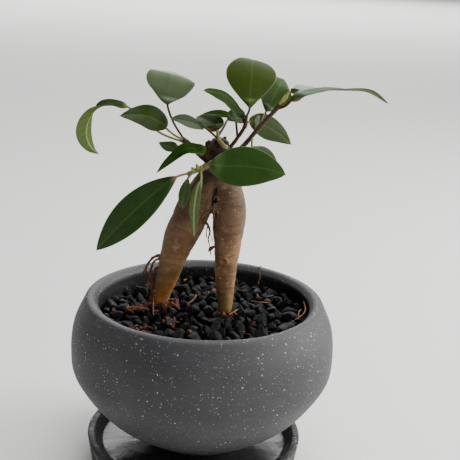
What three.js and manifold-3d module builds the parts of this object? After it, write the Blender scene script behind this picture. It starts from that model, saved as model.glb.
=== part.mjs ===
// Small fig bonsai on two swollen root legs, in a round stoneware bowl that stands on a saucer.
// Millimetres, +Z up. The origin is the centre of the saucer's flat underside.
// The pot stands a little off the saucer's centre, towards +X.

import * as THREE from 'three';
import { mergeVertices } from 'three/addons/utils/BufferGeometryUtils.js';
import Module from 'manifold-3d';

const wasm = await Module();
wasm.setup();

// ---- Driving dimensions ----------------------------------------------------------------

const GAP = 0.3;                   // clearance between pieces that touch
const SAUCER_RIM_RADIUS = 50;
const SAUCER_HEIGHT = 13.2;
const SAUCER_FLOOR = 8;            // thickness of the saucer's floor
const SAUCER_BASE_RADIUS = 48.2;
const SAUCER_RIM_WIDTH = 3.6;

const POT_X = 2.5;                 // pot axis
const POT_BASE_Z = SAUCER_FLOOR + GAP;
const POT_HEIGHT = 71.9;
const POT_BASE_RADIUS = 18;
const POT_BELLY_RADIUS = 60;
const POT_MOUTH_RADIUS = 47.6;
const POT_FLOOR = 6;               // thickness of the pot's floor
const POT_RECESS = 1;              // depth of the hollow under the pot's floor
const DRAIN_HOLE_RADIUS = 6;

const MESH_RADIUS = 11;            // drainage mesh
const MESH_THICKNESS = 0.8;

const GRAVEL_TOP_Z = 73;           // mean level of the gravel
const TREE_GRAVEL_Z = 69;          // gravel level that the tree's own heights are given for
const TREE_LIFT = GRAVEL_TOP_Z - TREE_GRAVEL_Z;
const GRAVEL_DEPTH = 5.5;
const GRAVEL_CROWN = 1.2;          // how much higher the gravel lies at the middle

const BLADE_THICKNESS = 0.5;
const PETIOLE_WIDTH = 1.1;

// ---- Finishes --------------------------------------------------------------------------

function finish(colour, roughness) {
  return new THREE.MeshStandardMaterial({ color: colour, roughness, metalness: 0 });
}

const FINISHES = {
  glazedSaucer: () => finish(0x1b1a1b, 0.25),
  stoneware: () => finish(0x3a3a3d, 0.65),
  plasticMesh: () => finish(0x23282a, 0.6),
  soil: () => finish(0x3b2a1d, 0.95),
  gravel: () => finish(0x2a2422, 0.9),
  bark: () => finish(0x8a6f52, 0.85),
  root: () => finish(0x5b4632, 0.85),
  youngBark: () => finish(0x5e4630, 0.7),
  greenStem: () => finish(0x7f8543, 0.6),
  bud: () => finish(0x9fae54, 0.5),
  leaf: () => finish(0x3d6427, 0.35),
  leafUnderside: () => finish(0x7c954f, 0.5),
};

// ---- Solids ----------------------------------------------------------------------------

// A closed geometry as a solid that can be joined and cut.
function solid(geometry) {
  const bare = geometry.clone();
  bare.deleteAttribute('normal');
  bare.deleteAttribute('uv');
  const merged = mergeVertices(bare, 1e-4);
  return new wasm.Manifold(new wasm.Mesh({
    numProp: 3,
    vertProperties: new Float32Array(merged.attributes.position.array),
    triVerts: new Uint32Array(merged.index.array),
  }));
}

// The largest body of a solid: a cut can leave crumbs inside the piece that did the cutting.
function largestBody(shape) {
  const bodies = shape.decompose();
  return bodies.reduce((best, body) => (body.volume() > best.volume() ? body : best));
}

function geometryOf(shape) {
  const mesh = largestBody(shape).getMesh();
  const geometry = new THREE.BufferGeometry();
  geometry.setAttribute('position', new THREE.BufferAttribute(mesh.vertProperties, 3));
  geometry.setIndex(new THREE.BufferAttribute(mesh.triVerts, 1));
  geometry.computeVertexNormals();
  return geometry;
}

function joined(shapes) {
  return shapes.reduce((whole, shape) => whole.add(shape));
}

// A solid of revolution about the vertical axis through (x, 0) from [radius, z] pairs.
function turned(profile, segments, x = 0) {
  const points = profile.map(([radius, z]) => new THREE.Vector2(radius, z));
  const geometry = new THREE.LatheGeometry(points, segments);
  geometry.rotateX(Math.PI / 2);
  geometry.translate(x, 0, 0);
  return geometry;
}

// The profile points of a smooth curve through a few [radius, z] pairs.
function smooth(pairs, count) {
  const curve = new THREE.SplineCurve(pairs.map(([radius, z]) => new THREE.Vector2(radius, z)));
  return curve.getPoints(count).map((point) => [point.x, point.y]);
}

// A smooth path through the tree's stations, lifted with the gravel.
function treePath(stations) {
  return new THREE.CatmullRomCurve3(stations.map(([x, y, z]) => new THREE.Vector3(x, y, z + TREE_LIFT)));
}

// A closed tube along stations of [x, y, z, radius]; grow swells it evenly.
function tube(stations, sides, stepsPerSpan, grow = 0) {
  const path = treePath(stations);
  const steps = (stations.length - 1) * stepsPerSpan;
  const frames = path.computeFrenetFrames(steps);
  const geometry = new THREE.CylinderGeometry(1, 1, 1, sides, steps);
  const position = geometry.attributes.position;
  for (let i = 0; i < position.count; i += 1) {
    const u = 0.5 - position.getY(i);
    const row = Math.round(u * steps);
    const along = path.getUtoTmapping(u) * (stations.length - 1);
    const span = Math.min(Math.floor(along), stations.length - 2);
    const radius = THREE.MathUtils.lerp(stations[span][3], stations[span + 1][3], along - span) + grow;
    const point = path.getPointAt(u);
    point.addScaledVector(frames.normals[row], position.getX(i) * radius);
    point.addScaledVector(frames.binormals[row], position.getZ(i) * radius);
    if (u === 0) point.addScaledVector(frames.tangents[row], -grow);
    if (u === 1) point.addScaledVector(frames.tangents[row], grow);
    position.setXYZ(i, point.x, point.y, point.z);
  }
  return solid(geometry);
}

// ---- Saucer, pot and filling -----------------------------------------------------------

function saucer() {
  const inner = SAUCER_RIM_RADIUS - SAUCER_RIM_WIDTH;
  return turned([
    [0, 0],
    [SAUCER_BASE_RADIUS - 1, 0],
    [SAUCER_BASE_RADIUS, 1],
    [SAUCER_RIM_RADIUS - 0.6, SAUCER_HEIGHT - 1.6],
    [SAUCER_RIM_RADIUS, SAUCER_HEIGHT - 0.6],
    [SAUCER_RIM_RADIUS - 0.8, SAUCER_HEIGHT],
    [inner + 0.6, SAUCER_HEIGHT - 0.3],
    [inner, SAUCER_HEIGHT - 1],
    [inner - 2.6, SAUCER_FLOOR + 1],
    [inner - 4.4, SAUCER_FLOOR],
    [0, SAUCER_FLOOR],
  ], 36);
}

// Heights in the pot's profiles are above its base.
const POT_OUTSIDE = smooth([
  [POT_BASE_RADIUS, 0.4], [26.3, 5.4], [45.6, 19.2], [57.9, 35.8], [POT_BELLY_RADIUS, 47.5],
  [58.7, 59.5], [53.8, 70.8],
], 10);
const POT_LIP = [[51.6, POT_HEIGHT], [49.2, POT_HEIGHT - 1.1]];
const POT_INSIDE = smooth([
  [POT_MOUTH_RADIUS, POT_HEIGHT - 2.7], [52.6, 61], [55, 49], [52.6, 37], [40.5, 22], [24, 10.5],
  [14, POT_FLOOR],
], 8);

function pot() {
  const profile = [
    [DRAIN_HOLE_RADIUS, POT_FLOOR],
    [DRAIN_HOLE_RADIUS, POT_RECESS],
    [POT_BASE_RADIUS - 5, POT_RECESS],
    [POT_BASE_RADIUS - 4, 0],
    [POT_BASE_RADIUS - 0.6, 0],
    ...POT_OUTSIDE,
    ...POT_LIP,
    ...POT_INSIDE,
    [DRAIN_HOLE_RADIUS, POT_FLOOR],
  ].map(([radius, z]) => [radius, z + POT_BASE_Z]);
  return turned(profile, 36, POT_X);
}

const MESH_BASE_Z = POT_BASE_Z + POT_FLOOR + GAP;

function drainMesh() {
  return turned([
    [0, MESH_BASE_Z],
    [MESH_RADIUS, MESH_BASE_Z],
    [MESH_RADIUS, MESH_BASE_Z + MESH_THICKNESS],
    [0, MESH_BASE_Z + MESH_THICKNESS],
  ], 24, POT_X);
}

// The pot's inner radius at a height in the part's frame.
function innerRadius(z) {
  const rows = POT_INSIDE.map(([radius, height]) => [radius, height + POT_BASE_Z]);
  const lower = rows.findIndex(([, height]) => height <= z);
  const [r0, z0] = rows[lower];
  const [r1, z1] = rows[lower - 1];
  return THREE.MathUtils.lerp(r0, r1, (z - z0) / (z1 - z0));
}

const SOIL_BASE_Z = MESH_BASE_Z + MESH_THICKNESS + GAP;
const SOIL_TOP_Z = GRAVEL_TOP_Z - GRAVEL_DEPTH;

function soilBall() {
  const side = [0, 0.2, 0.4, 0.6, 0.8, 0.92, 1].map((part) => {
    const z = THREE.MathUtils.lerp(SOIL_BASE_Z, SOIL_TOP_Z, part);
    return [innerRadius(z) - 3 * GAP, z];
  });
  return solid(turned([[0, SOIL_BASE_Z], ...side, [0, SOIL_TOP_Z]], 32, POT_X));
}

function gravelBed() {
  const base = SOIL_TOP_Z + GAP;
  return solid(turned([
    [0, base],
    [innerRadius(base) - 2 * GAP, base],
    [innerRadius(GRAVEL_TOP_Z - 1) - 2 * GAP, GRAVEL_TOP_Z - 1],
    [innerRadius(GRAVEL_TOP_Z) - 4 * GAP, GRAVEL_TOP_Z - 0.6],
    [26, GRAVEL_TOP_Z],
    [0, GRAVEL_TOP_Z + GRAVEL_CROWN],
  ], 32, POT_X));
}

// ---- Trunk and roots -------------------------------------------------------------------

const LEFT_LEG = [
  [-20.5, 6, 47, 2.4],
  [-18.4, 4, 71, 3.8],
  [-15.3, 3, 82, 4.8],
  [-12.8, 2.5, 92, 6],
  [-10, 2, 101.5, 7.2],
  [-6.3, 1, 111, 7.8],
  [-2.6, 0.5, 119.5, 7.7],
  [3, 0, 128.5, 7.2],
  [6, 0, 136, 6],
];
const RIGHT_LEG = [
  [14.5, -4.5, 47, 1.8],
  [12.2, -2.5, 70.5, 3],
  [11.9, -2, 80, 4],
  [11.6, -2, 90, 5.1],
  [11.8, -2, 101, 6],
  [12.1, -1.5, 110, 7.1],
  [12, -1, 117, 7.4],
  [10.6, -0.5, 126, 6.8],
  [7.5, 0, 136, 5.6],
];
const NECK = [
  [5.8, 0, 121, 3.6],
  [6, 0, 124.5, 6.2],
  [7.4, 0, 129.5, 7.6],
  [7, 0, 134, 6.8],
  [6.2, 0, 140, 5.7],
  [5.8, 0, 144, 5.2],
  [5.8, 0, 147, 5.1],
  [5.8, 0, 149, 4.2],
];

function trunk(grow = 0) {
  return joined([
    tube(LEFT_LEG, 12, 2, grow),
    tube(RIGHT_LEG, 12, 2, grow),
    tube(NECK, 12, 2, grow),
  ]);
}

const trunkClearance = trunk(GAP);

const ROOTS = {
  aerial_root_curly: [
    [-15, 2.5, 94.5, 0.9],
    [-18.4, 2, 94, 0.9],
    [-21.1, 2, 92.9, 0.8],
    [-23.3, 1.5, 90.5, 0.8],
    [-24.6, 1, 87.5, 0.7],
    [-23.6, 0.5, 83.7, 0.6],
    [-22.8, 0, 80, 0.5],
  ],
  aerial_root_thin: [
    [-16, 2.5, 89, 0.6],
    [-20.3, 3, 87, 0.55],
    [-21, 3, 79.5, 0.5],
    [-22.4, 2.5, 73, 0.5],
    [-22.8, 2, 64, 0.4],
  ],
  rootlet_crotch: [
    [-1.5, 0, 113, 0.6],
    [2.3, -1, 110.7, 0.6],
    [3.8, -1, 107, 0.5],
    [3.5, -1, 102.4, 0.4],
  ],
  rootlet_stub: [
    [9, -3, 101.5, 0.8],
    [5.8, -4.5, 102, 0.7],
    [4.1, -4.5, 100.5, 0.5],
  ],
};

function root(name, grow = 0) {
  return tube(ROOTS[name], 6, 2, grow).subtract(trunkClearance);
}

// ---- Shoots and buds -------------------------------------------------------------------

const SHOOTS = {
  shoot_left: [
    [2, -2, 139, 1.3],
    [-0.5, -5, 141.5, 1.3],
    [-4, -5, 144.5, 1.2],
    [-8, -4, 147.5, 1.4],
    [-10, -3, 149, 1],
  ],
  shoot_middle: [
    [9.5, -3, 146, 1.1],
    [8, -7, 147.5, 1],
    [6, -7.5, 150.5, 0.8],
    [5.5, -6.5, 153.5, 0.7],
  ],
  shoot_top: [
    [8.5, 0, 142, 1.3],
    [10.5, 0, 144.5, 1.2],
    [14, 0, 149.5, 1.1],
    [17, 0, 155, 1.1],
    [17.5, 0, 159.5, 0.9],
  ],
  shoot_right: [
    [9, -2, 139, 1.4],
    [14.5, -3, 144.4, 1.2],
    [18, -4, 148.5, 1.2],
    [22.5, -4, 154.5, 1.2],
    [26.5, -3.5, 159.3, 1.2],
    [30.5, -3, 164, 1.2],
    [32.3, -2.5, 166.6, 1],
  ],
  shoot_front: [
    [8.5, -2, 140.5, 1.1],
    [7, -8, 142, 1.1],
    [3.5, -10, 140, 1.1],
    [0, -10.5, 138, 1.2],
    [-3.5, -11, 136.5, 1.1],
    [-6.5, -11, 135, 0.8],
  ],
};

const GREEN_SHOOTS = ['shoot_middle', 'shoot_front'];

function shoot(name, grow = 0) {
  return tube(SHOOTS[name], 8, 2, grow).subtract(trunkClearance);
}

const shootClearance = joined(Object.keys(SHOOTS).map((name) => shoot(name, GAP)));

const BUDS = {
  bud_tip: [
    [32, -2.5, 166.2, 1],
    [33.5, -2.5, 168.4, 1.3],
    [34.4, -2.5, 170, 0.9],
    [35.2, -2.5, 171.4, 0.3],
  ],
  bud_front: [
    [-1.8, -10.8, 137.4, 0.9],
    [-2.6, -12, 139, 1],
    [-3.2, -12.4, 140.6, 0.3],
  ],
};

function bud(name) {
  return tube(BUDS[name], 8, 2).subtract(shootClearance).subtract(trunkClearance);
}

// ---- Leaves ----------------------------------------------------------------------------

// petiole runs from the shoot to the blade, blade from there to the tip. across gives the
// direction over the blade at its base and at its tip. halfWidth is the blade's largest half
// width, widest says how far along it lies, and fold how much the margins rise over the midrib.
const LEAVES = {
  leaf_far_left: {
    petiole: [[-7.5, -3.2, 146.8], [-19.5, 1, 150], [-28.5, 1.5, 156.8]],
    blade: [[-33.5, 1, 160.5], [-40, 1, 161.5], [-46.5, 0, 159.8], [-50.3, -1, 154.5],
      [-51.2, -2, 148], [-49, -3, 143], [-45.5, -4, 140.5]],
    across: [[0, -1, -0.25], [-0.62, -0.78, 0]],
    halfWidth: 6.5,
    widest: 0.5,
    fold: 0.2,
  },
  leaf_left_flat: {
    petiole: [[-9.3, -4.2, 148.4], [-13.5, -5, 150.8]],
    blade: [[-16.5, -5.5, 153.3], [-19, -7, 155.9], [-24.5, -9, 158.6], [-30, -10, 159.1],
      [-35.5, -11, 158.6]],
    across: [[-0.6, -0.5, -0.6], [-0.3, -0.6, -0.6]],
    halfWidth: 5.4,
    widest: 0.4,
    fold: 0.05,
  },
  leaf_left_upright: {
    petiole: [[-9.5, -2, 149], [-14, 3, 154.5]],
    blade: [[-17, 6, 161.5], [-16.5, 8, 168], [-16, 12, 173.6], [-15.5, 17, 174.4]],
    across: [[1, 0, -0.3], [1, 0, -0.2]],
    halfWidth: 10.8,
    widest: 0.62,
    fold: 0.05,
  },
  leaf_left_small: {
    petiole: [[-6.5, -4.3, 146.3]],
    blade: [[-11.5, 0.5, 144], [-16, 3, 143.8], [-20.5, 6, 144.8]],
    across: [[0, -0.6, -0.8], [0, -0.6, -0.8]],
    halfWidth: 2.5,
    widest: 0.35,
    fold: 0.2,
  },
  leaf_middle_pale: {
    petiole: [[6, -7.5, 150], [1.8, -10, 154]],
    blade: [[0, -12, 155.6], [-6, -15, 157.8], [-13.5, -17, 159.5]],
    across: [[0, -0.95, -0.25], [0, -0.95, -0.25]],
    halfWidth: 6,
    widest: 0.5,
    fold: 0.1,
  },
  leaf_middle_dark: {
    petiole: [[5.6, -6.6, 152.5]],
    blade: [[5, -6, 153.8], [2.8, -3, 155.9], [-0.5, 0, 157.1], [-4, 3, 157.5]],
    across: [[-0.3, -0.9, -0.4], [0, -0.9, -0.3]],
    halfWidth: 6,
    widest: 0.4,
    fold: 0.1,
  },
  leaf_back_middle: {
    petiole: [[14, 0, 149.5], [13.4, 8, 153]],
    blade: [[12.5, 12, 155.6], [7.5, 14, 156.8], [2, 15, 156.5], [-4, 15.5, 155.4]],
    across: [[0, -0.95, -0.1], [0, -0.95, -0.15]],
    halfWidth: 6,
    widest: 0.5,
    fold: 0.1,
  },
  leaf_back_small: {
    petiole: [[5.9, -7.3, 151.5], [7.9, -5.5, 154.8]],
    blade: [[9.6, 1, 157.2], [13, 5, 158], [17.5, 9, 157.2]],
    across: [[0, 0.8, 0.6], [0, 0.8, 0.6]],
    halfWidth: 4,
    widest: 0.5,
    fold: 0.1,
  },
  leaf_curved: {
    petiole: [[17, 0, 155]],
    blade: [[16, 1, 158], [13, 1, 163], [8.5, 0, 167.2], [3, -3, 169.3], [-1, -6, 170.2]],
    across: [[0.25, 0.95, 0.1], [0.15, 0.95, 0.2]],
    halfWidth: 6,
    widest: 0.45,
    fold: 0.15,
  },
  leaf_top: {
    petiole: [[17.5, 0, 159]],
    blade: [[18.6, 1, 162], [18.7, 3, 168], [18.8, 6, 176], [19.2, 11, 182], [19.2, 14, 181.5]],
    across: [[1, 0, 0], [1, 0, -0.2]],
    halfWidth: 11,
    widest: 0.6,
    fold: 0.05,
  },
  leaf_top_back: {
    petiole: [[24, -3.8, 156.5], [25.5, 4, 159.5]],
    blade: [[26, 7, 160.5], [28.8, 10, 166], [31.5, 13, 171.5], [33.5, 17, 173.5]],
    across: [[0.9, 0.2, -0.4], [0.9, 0.2, -0.4]],
    halfWidth: 8.5,
    widest: 0.55,
    fold: 0.05,
  },
  leaf_long_right: {
    petiole: [[30, -3, 163.3], [33.5, -4, 165]],
    blade: [[35.5, -4, 167], [40.5, -5, 170.3], [48.5, -6, 172.6], [57.5, -8, 173.4],
      [68, -10, 173.2], [75.5, -12, 169.2]],
    across: [[0, 1, 0.16], [0, 1, -0.35]],
    halfWidth: 8,
    widest: 0.5,
    fold: 0.03,
  },
  leaf_right_back: {
    petiole: [[30.8, -3, 164.4], [33, 1.5, 167.5]],
    blade: [[36, 4, 169.8], [40, 6, 171.2], [45.5, 9, 171], [52, 12, 170.4]],
    across: [[0, 1, 0.1], [0, 1, 0]],
    halfWidth: 6,
    widest: 0.5,
    fold: 0.05,
  },
  leaf_right_low: {
    petiole: [[17, 0, 154.5]],
    blade: [[19, 4, 156.3], [25, 7, 154.6], [32, 9, 150.8], [38, 10, 146]],
    across: [[-0.3, -0.5, -0.8], [-0.3, -0.5, -0.8]],
    halfWidth: 5.6,
    widest: 0.4,
    fold: 0.05,
  },
  leaf_front: {
    petiole: [[5, -9, 141.3]],
    blade: [[4, -14, 140], [8, -17, 140.5], [17.5, -22, 142], [27, -26, 142], [34, -27, 140.5]],
    across: [[-0.2, -0.3, -0.9], [-0.2, -0.3, -0.9]],
    halfWidth: 8.5,
    widest: 0.45,
    fold: 0.05,
  },
  leaf_front_small: {
    petiole: [[20.5, -4, 151.5]],
    blade: [[20.5, -8, 147.5], [23, -9, 145.5], [27.5, -10, 144], [31, -11, 142.5]],
    across: [[0, 0.7, 0.7], [0, 0.7, 0.7]],
    halfWidth: 4,
    widest: 0.4,
    fold: 0.05,
  },
  leaf_left_arching: {
    petiole: [[1.5, -4, 140], [1, -8, 142]],
    blade: [[0.5, -9, 144.5], [-3, -11, 146], [-7.5, -13, 146], [-11.5, -15, 143.6],
      [-15.5, -16, 140], [-19, -17, 136.5]],
    across: [[0, -0.95, -0.22], [0.2, -0.95, -0.2]],
    halfWidth: 6,
    widest: 0.4,
    fold: 0.05,
  },
  leaf_low_left: {
    petiole: [[-5.5, -11, 135.5]],
    blade: [[-10.5, -13, 134.3], [-17.5, -15, 129.3], [-26.2, -17, 121.5], [-35.5, -17, 111.5],
      [-44.5, -15, 100.5]],
    across: [[0.5, -0.3, -0.8], [0.7, -0.3, -0.7]],
    halfWidth: 7.2,
    widest: 0.5,
    fold: 0.05,
  },
  leaf_hanging_dark: {
    petiole: [[-4, -11, 136]],
    blade: [[-6, -13, 133.8], [-6.8, -14, 129], [-7.6, -15, 124.5], [-8, -15, 120.5]],
    across: [[1, -0.5, 0], [1, -0.5, 0]],
    halfWidth: 2.8,
    widest: 0.5,
    fold: 0.2,
  },
  leaf_hanging_pale: {
    petiole: [[-1, -10.7, 137.5]],
    blade: [[-0.5, -14, 133.5], [-2, -15, 128.5], [-2.8, -15, 120.5], [-2.5, -14, 108.5]],
    across: [[1, -0.5, 0], [1, -0.5, 0]],
    halfWidth: 2.5,
    widest: 0.4,
    fold: 0.2,
  },
};

// Leaves that hang with their pale underside out.
const TURNED_OVER = ['leaf_far_left', 'leaf_hanging_pale'];

const PETIOLE_ROWS = 3;
const BLADE_ROWS = 9;
const BLADE_COLUMNS = 4;
const LENGTH_SAMPLES = 20;         // per span, to find where the blade starts
const BLADE_FULLNESS = 0.8;        // below 1 the blade is fuller than a sine
const TIP_TAPER = 0.6;             // how much of the midrib's width is lost at the tip
const BASE_LENGTHS = 4;            // the petiole turns into blade over one part in this many

// One closed strip whose section goes from the round petiole to the thin, folded blade.
function leaf({ petiole, blade, across, halfWidth, widest, fold }) {
  const stations = [...petiole, ...blade];
  const path = treePath(stations);
  const lengths = path.getLengths((stations.length - 1) * LENGTH_SAMPLES);
  const bladeStart = lengths[petiole.length * LENGTH_SAMPLES] / lengths.at(-1);
  const skew = Math.log(0.5) / Math.log(widest);
  const rows = PETIOLE_ROWS + BLADE_ROWS;
  const baseSide = new THREE.Vector3(...across[0]);
  const tipSide = new THREE.Vector3(...across[1]);

  const geometry = new THREE.BoxGeometry(1, 1, 1, BLADE_COLUMNS, 1, rows);
  const position = geometry.attributes.position;
  for (let i = 0; i < position.count; i += 1) {
    const row = Math.round((position.getZ(i) + 0.5) * rows);
    const onBlade = Math.max(row - PETIOLE_ROWS, 0) / BLADE_ROWS;
    const onPetiole = Math.min(row / PETIOLE_ROWS, 1);
    const u = THREE.MathUtils.lerp(0, bladeStart, onPetiole) + onBlade * (1 - bladeStart);
    const opened = Math.min(onBlade * BASE_LENGTHS, 1);
    const swell = Math.sin(Math.PI * onBlade ** skew) ** BLADE_FULLNESS;
    const half = Math.max(halfWidth * swell, PETIOLE_WIDTH / 2 * (1 - onBlade * TIP_TAPER));
    const thickness = THREE.MathUtils.lerp(PETIOLE_WIDTH, BLADE_THICKNESS, opened);

    const point = path.getPointAt(u);
    const tangent = path.getTangentAt(u);
    const side = baseSide.clone().lerp(tipSide, onBlade);
    side.addScaledVector(tangent, -side.dot(tangent)).normalize();
    const normal = tangent.clone().cross(side);
    const offset = position.getX(i) * 2 * half;
    const rise = position.getY(i) * thickness + Math.abs(offset) * fold * opened;
    point.addScaledVector(side, offset).addScaledVector(normal, rise);
    position.setXYZ(i, point.x, point.y, point.z);
  }
  return solid(geometry).subtract(shootClearance).subtract(trunkClearance);
}

// ---- The tree in its pot ---------------------------------------------------------------

const group = new THREE.Group();

function place(name, geometry, material) {
  const mesh = new THREE.Mesh(geometry, material);
  mesh.name = name;
  group.add(mesh);
}

const rootClearance = joined(Object.keys(ROOTS).map((name) => root(name, GAP)));

place('saucer', saucer(), FINISHES.glazedSaucer());
place('pot', pot(), FINISHES.stoneware());
place('drain_mesh', drainMesh(), FINISHES.plasticMesh());
place('potting_soil', geometryOf(soilBall().subtract(trunkClearance).subtract(rootClearance)),
  FINISHES.soil());
place('top_gravel', geometryOf(gravelBed().subtract(trunkClearance).subtract(rootClearance)),
  FINISHES.gravel());
place('trunk', geometryOf(trunk()), FINISHES.bark());
for (const name of Object.keys(ROOTS)) {
  place(name, geometryOf(root(name)), FINISHES.root());
}
for (const name of Object.keys(SHOOTS)) {
  const green = GREEN_SHOOTS.includes(name);
  place(name, geometryOf(shoot(name)), green ? FINISHES.greenStem() : FINISHES.youngBark());
}
for (const name of Object.keys(BUDS)) {
  place(name, geometryOf(bud(name)), FINISHES.bud());
}
for (const [name, shape] of Object.entries(LEAVES)) {
  const turnedOver = TURNED_OVER.includes(name);
  place(name, geometryOf(leaf(shape)), turnedOver ? FINISHES.leafUnderside() : FINISHES.leaf());
}

export default group;
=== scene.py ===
# Small fig bonsai on two swollen root legs, in a round speckled bowl that stands on a saucer.
# The CAD parts are loaded as a fixed frame, and each piece made here stands for one or more of
# them. Metres, +Z up; the origin is the centre of the saucer's flat underside. Shapes are
# listed in millimetres and scaled when they are built.

import math
import random

import bmesh
import bpy
from bpy.props import FloatProperty, FloatVectorProperty, IntProperty, PointerProperty
from mathutils import Matrix, Vector, kdtree, noise


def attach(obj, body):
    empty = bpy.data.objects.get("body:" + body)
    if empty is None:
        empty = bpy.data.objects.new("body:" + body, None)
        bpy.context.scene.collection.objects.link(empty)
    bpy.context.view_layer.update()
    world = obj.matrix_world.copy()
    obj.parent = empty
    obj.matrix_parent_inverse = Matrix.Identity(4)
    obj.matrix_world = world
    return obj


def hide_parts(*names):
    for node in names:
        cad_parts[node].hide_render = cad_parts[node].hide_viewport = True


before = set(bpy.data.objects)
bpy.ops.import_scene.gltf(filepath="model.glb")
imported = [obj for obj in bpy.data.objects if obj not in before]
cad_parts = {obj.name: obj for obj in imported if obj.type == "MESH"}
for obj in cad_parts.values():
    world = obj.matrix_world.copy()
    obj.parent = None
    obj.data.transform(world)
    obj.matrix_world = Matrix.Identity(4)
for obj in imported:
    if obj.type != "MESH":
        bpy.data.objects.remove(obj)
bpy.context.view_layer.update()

bl_info = {
    "name": "Potted fig bonsai",
    "version": (1, 0, 0),
    "blender": (4, 5, 0),
    "location": "3D View > Sidebar > Bonsai",
    "description": "Builds a small fig bonsai in a speckled bowl on a saucer",
    "category": "Object",
}

MM = 0.001
BODY = "root"
POT_X = 2.5                 # the pot stands a little off the saucer's centre
POT_BASE_Z = 8.3
TREE_LIFT = Vector((0, 0, 4))    # the tree's own heights are given for a gravel bed 4 mm lower


# ---- Shapes ------------------------------------------------------------------------------

def spline(stations, steps, knots=0.5):
    """A dense curve through the stations: knots 0.5 is centripetal and 0 is even."""
    points = [Vector(station) for station in stations]
    chain = [points[0] * 2 - points[1], *points, points[-1] * 2 - points[-2]]
    curve = []
    for a, b, c, d in zip(chain, chain[1:], chain[2:], chain[3:]):
        t0, t1, t2 = ((q - p).length ** knots for p, q in ((a, b), (b, c), (c, d)))
        leave = ((b - a) / t0 - (c - a) / (t0 + t1) + (c - b) / t1) * t1
        arrive = ((c - b) / t1 - (d - b) / (t1 + t2) + (d - c) / t2) * t1
        for i in range(steps):
            t = i / steps
            curve.append(
                b * (2 * t**3 - 3 * t**2 + 1) + leave * (t**3 - 2 * t**2 + t)
                + c * (3 * t**2 - 2 * t**3) + arrive * (t**3 - t**2)
            )
    curve.append(points[-1])
    return curve


def lengths(curve):
    """The distance along a curve at each of its points."""
    run = [0.0]
    for a, b in zip(curve, curve[1:]):
        run.append(run[-1] + (b.to_3d() - a.to_3d()).length)
    return run


def walk(curve, run, wanted):
    """The curve's points at the wanted distances along it, which only grow."""
    places = []
    i = 0
    for distance in wanted:
        while i < len(run) - 2 and run[i + 1] < distance:
            i += 1
        part = (distance - run[i]) / (run[i + 1] - run[i])
        places.append(curve[i].lerp(curve[i + 1], part))
    return places


def directions(places):
    """The direction of a curve at each of its points."""
    last = len(places) - 1
    return [
        (places[min(i + 1, last)].to_3d() - places[max(i - 1, 0)].to_3d()).normalized()
        for i in range(last + 1)
    ]


def start():
    """An empty bmesh with the float attributes that the materials read."""
    bm = bmesh.new()
    for name in ("along", "rib", "margin", "under", "stalk", "crease"):
        bm.verts.layers.float.new(name)
    return bm


def ring_edges(bm, ring):
    return [bm.edges.get(pair) for pair in zip(ring, ring[1:] + ring[:1])]


def next_ring(bm, ring):
    """Extrudes a ring of vertices, and gives the new ring in the same order."""
    made = bmesh.ops.extrude_edge_only(bm, edges=ring_edges(bm, ring))["geom"]
    fresh = {item for item in made if isinstance(item, bmesh.types.BMVert)}
    partners = []
    for vert in ring:
        partners.append(next(e.other_vert(vert) for e in vert.link_edges if e.other_vert(vert) in fresh))
    return partners


def close_ring(bm, ring):
    bmesh.ops.edgeloop_fill(bm, edges=ring_edges(bm, ring))


def add_tube(bm, stations, sides=10, step=0.7, rings=0.0, ring_gap=4.0, seed=0.0):
    """A closed tube with round ends through stations of x, y, z and radius.

    rings is the height of its raised nodes, and ring_gap the mean distance between them."""
    along = bm.verts.layers.float["along"]
    curve = spline(stations, 12)
    run = lengths(curve)
    count = max(int(run[-1] / step), 3)
    wanted = [run[-1] * i / count for i in range(count + 1)]
    places = walk(curve, run, wanted)
    ahead = directions(places)
    turn = Vector((0, 0, 1)).rotation_difference(ahead[0])
    ring = bmesh.ops.create_circle(bm, segments=sides, radius=1.0)["verts"]
    unit = [vert.co.copy() for vert in ring]
    first_cap = [(0.45, -0.5), (0.85, -0.25)]
    last_cap = [(0.85, 0.25), (0.45, 0.5)]
    rows = [(0, part, shift) for part, shift in first_cap]
    rows += [(i, 1.0, 0.0) for i in range(count + 1)]
    rows += [(count, part, shift) for part, shift in last_cap]
    before = 0
    for number, (i, part, shift) in enumerate(rows):
        if number:
            ring = next_ring(bm, ring)
        turn = ahead[before].rotation_difference(ahead[i]) @ turn
        before = i
        x, y, z, radius = places[i]
        swell = max(noise.noise(Vector((seed, 0.3, wanted[i] / ring_gap))) - 0.15, 0) * rings
        centre = Vector((x, y, z)) + TREE_LIFT + ahead[i] * shift * radius
        for vert, spoke in zip(ring, unit):
            vert.co = (centre + turn @ spoke * (radius * part + swell)) * MM
            vert[along] = wanted[i] + seed * 7
        if number in (0, len(rows) - 1):
            close_ring(bm, ring)


def roughen(bm, size, depth, stretch=(1, 1, 1), verts=None):
    """Moves vertices in and out by smooth noise of this size and depth, in millimetres."""
    bm.normal_update()
    moved = []
    for vert in verts or bm.verts:
        place = Vector(c * s for c, s in zip(vert.co, stretch)) / (size * MM)
        moved.append((vert, vert.normal * noise.noise(place) * depth * MM))
    for vert, shift in moved:
        vert.co += shift


def spun(bm, profile, steps, centre_x=0.0, closed=False):
    """A full turn of a profile of [radius, z] pairs about the vertical axis."""
    verts = [bm.verts.new(Vector((centre_x + radius, 0, z)) * MM) for radius, z in profile]
    pairs = list(zip(verts, verts[1:] + verts[:1] if closed else verts[1:]))
    edges = [bm.edges.new(pair) for pair in pairs]
    axis_point = Vector((centre_x, 0, 0)) * MM
    bmesh.ops.spin(
        bm, geom=verts + edges, cent=axis_point, axis=(0, 0, 1), dvec=(0, 0, 0),
        angle=math.tau, steps=steps, use_merge=True, use_duplicate=False,
    )
    bmesh.ops.remove_doubles(bm, verts=bm.verts, dist=1e-6)


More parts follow.
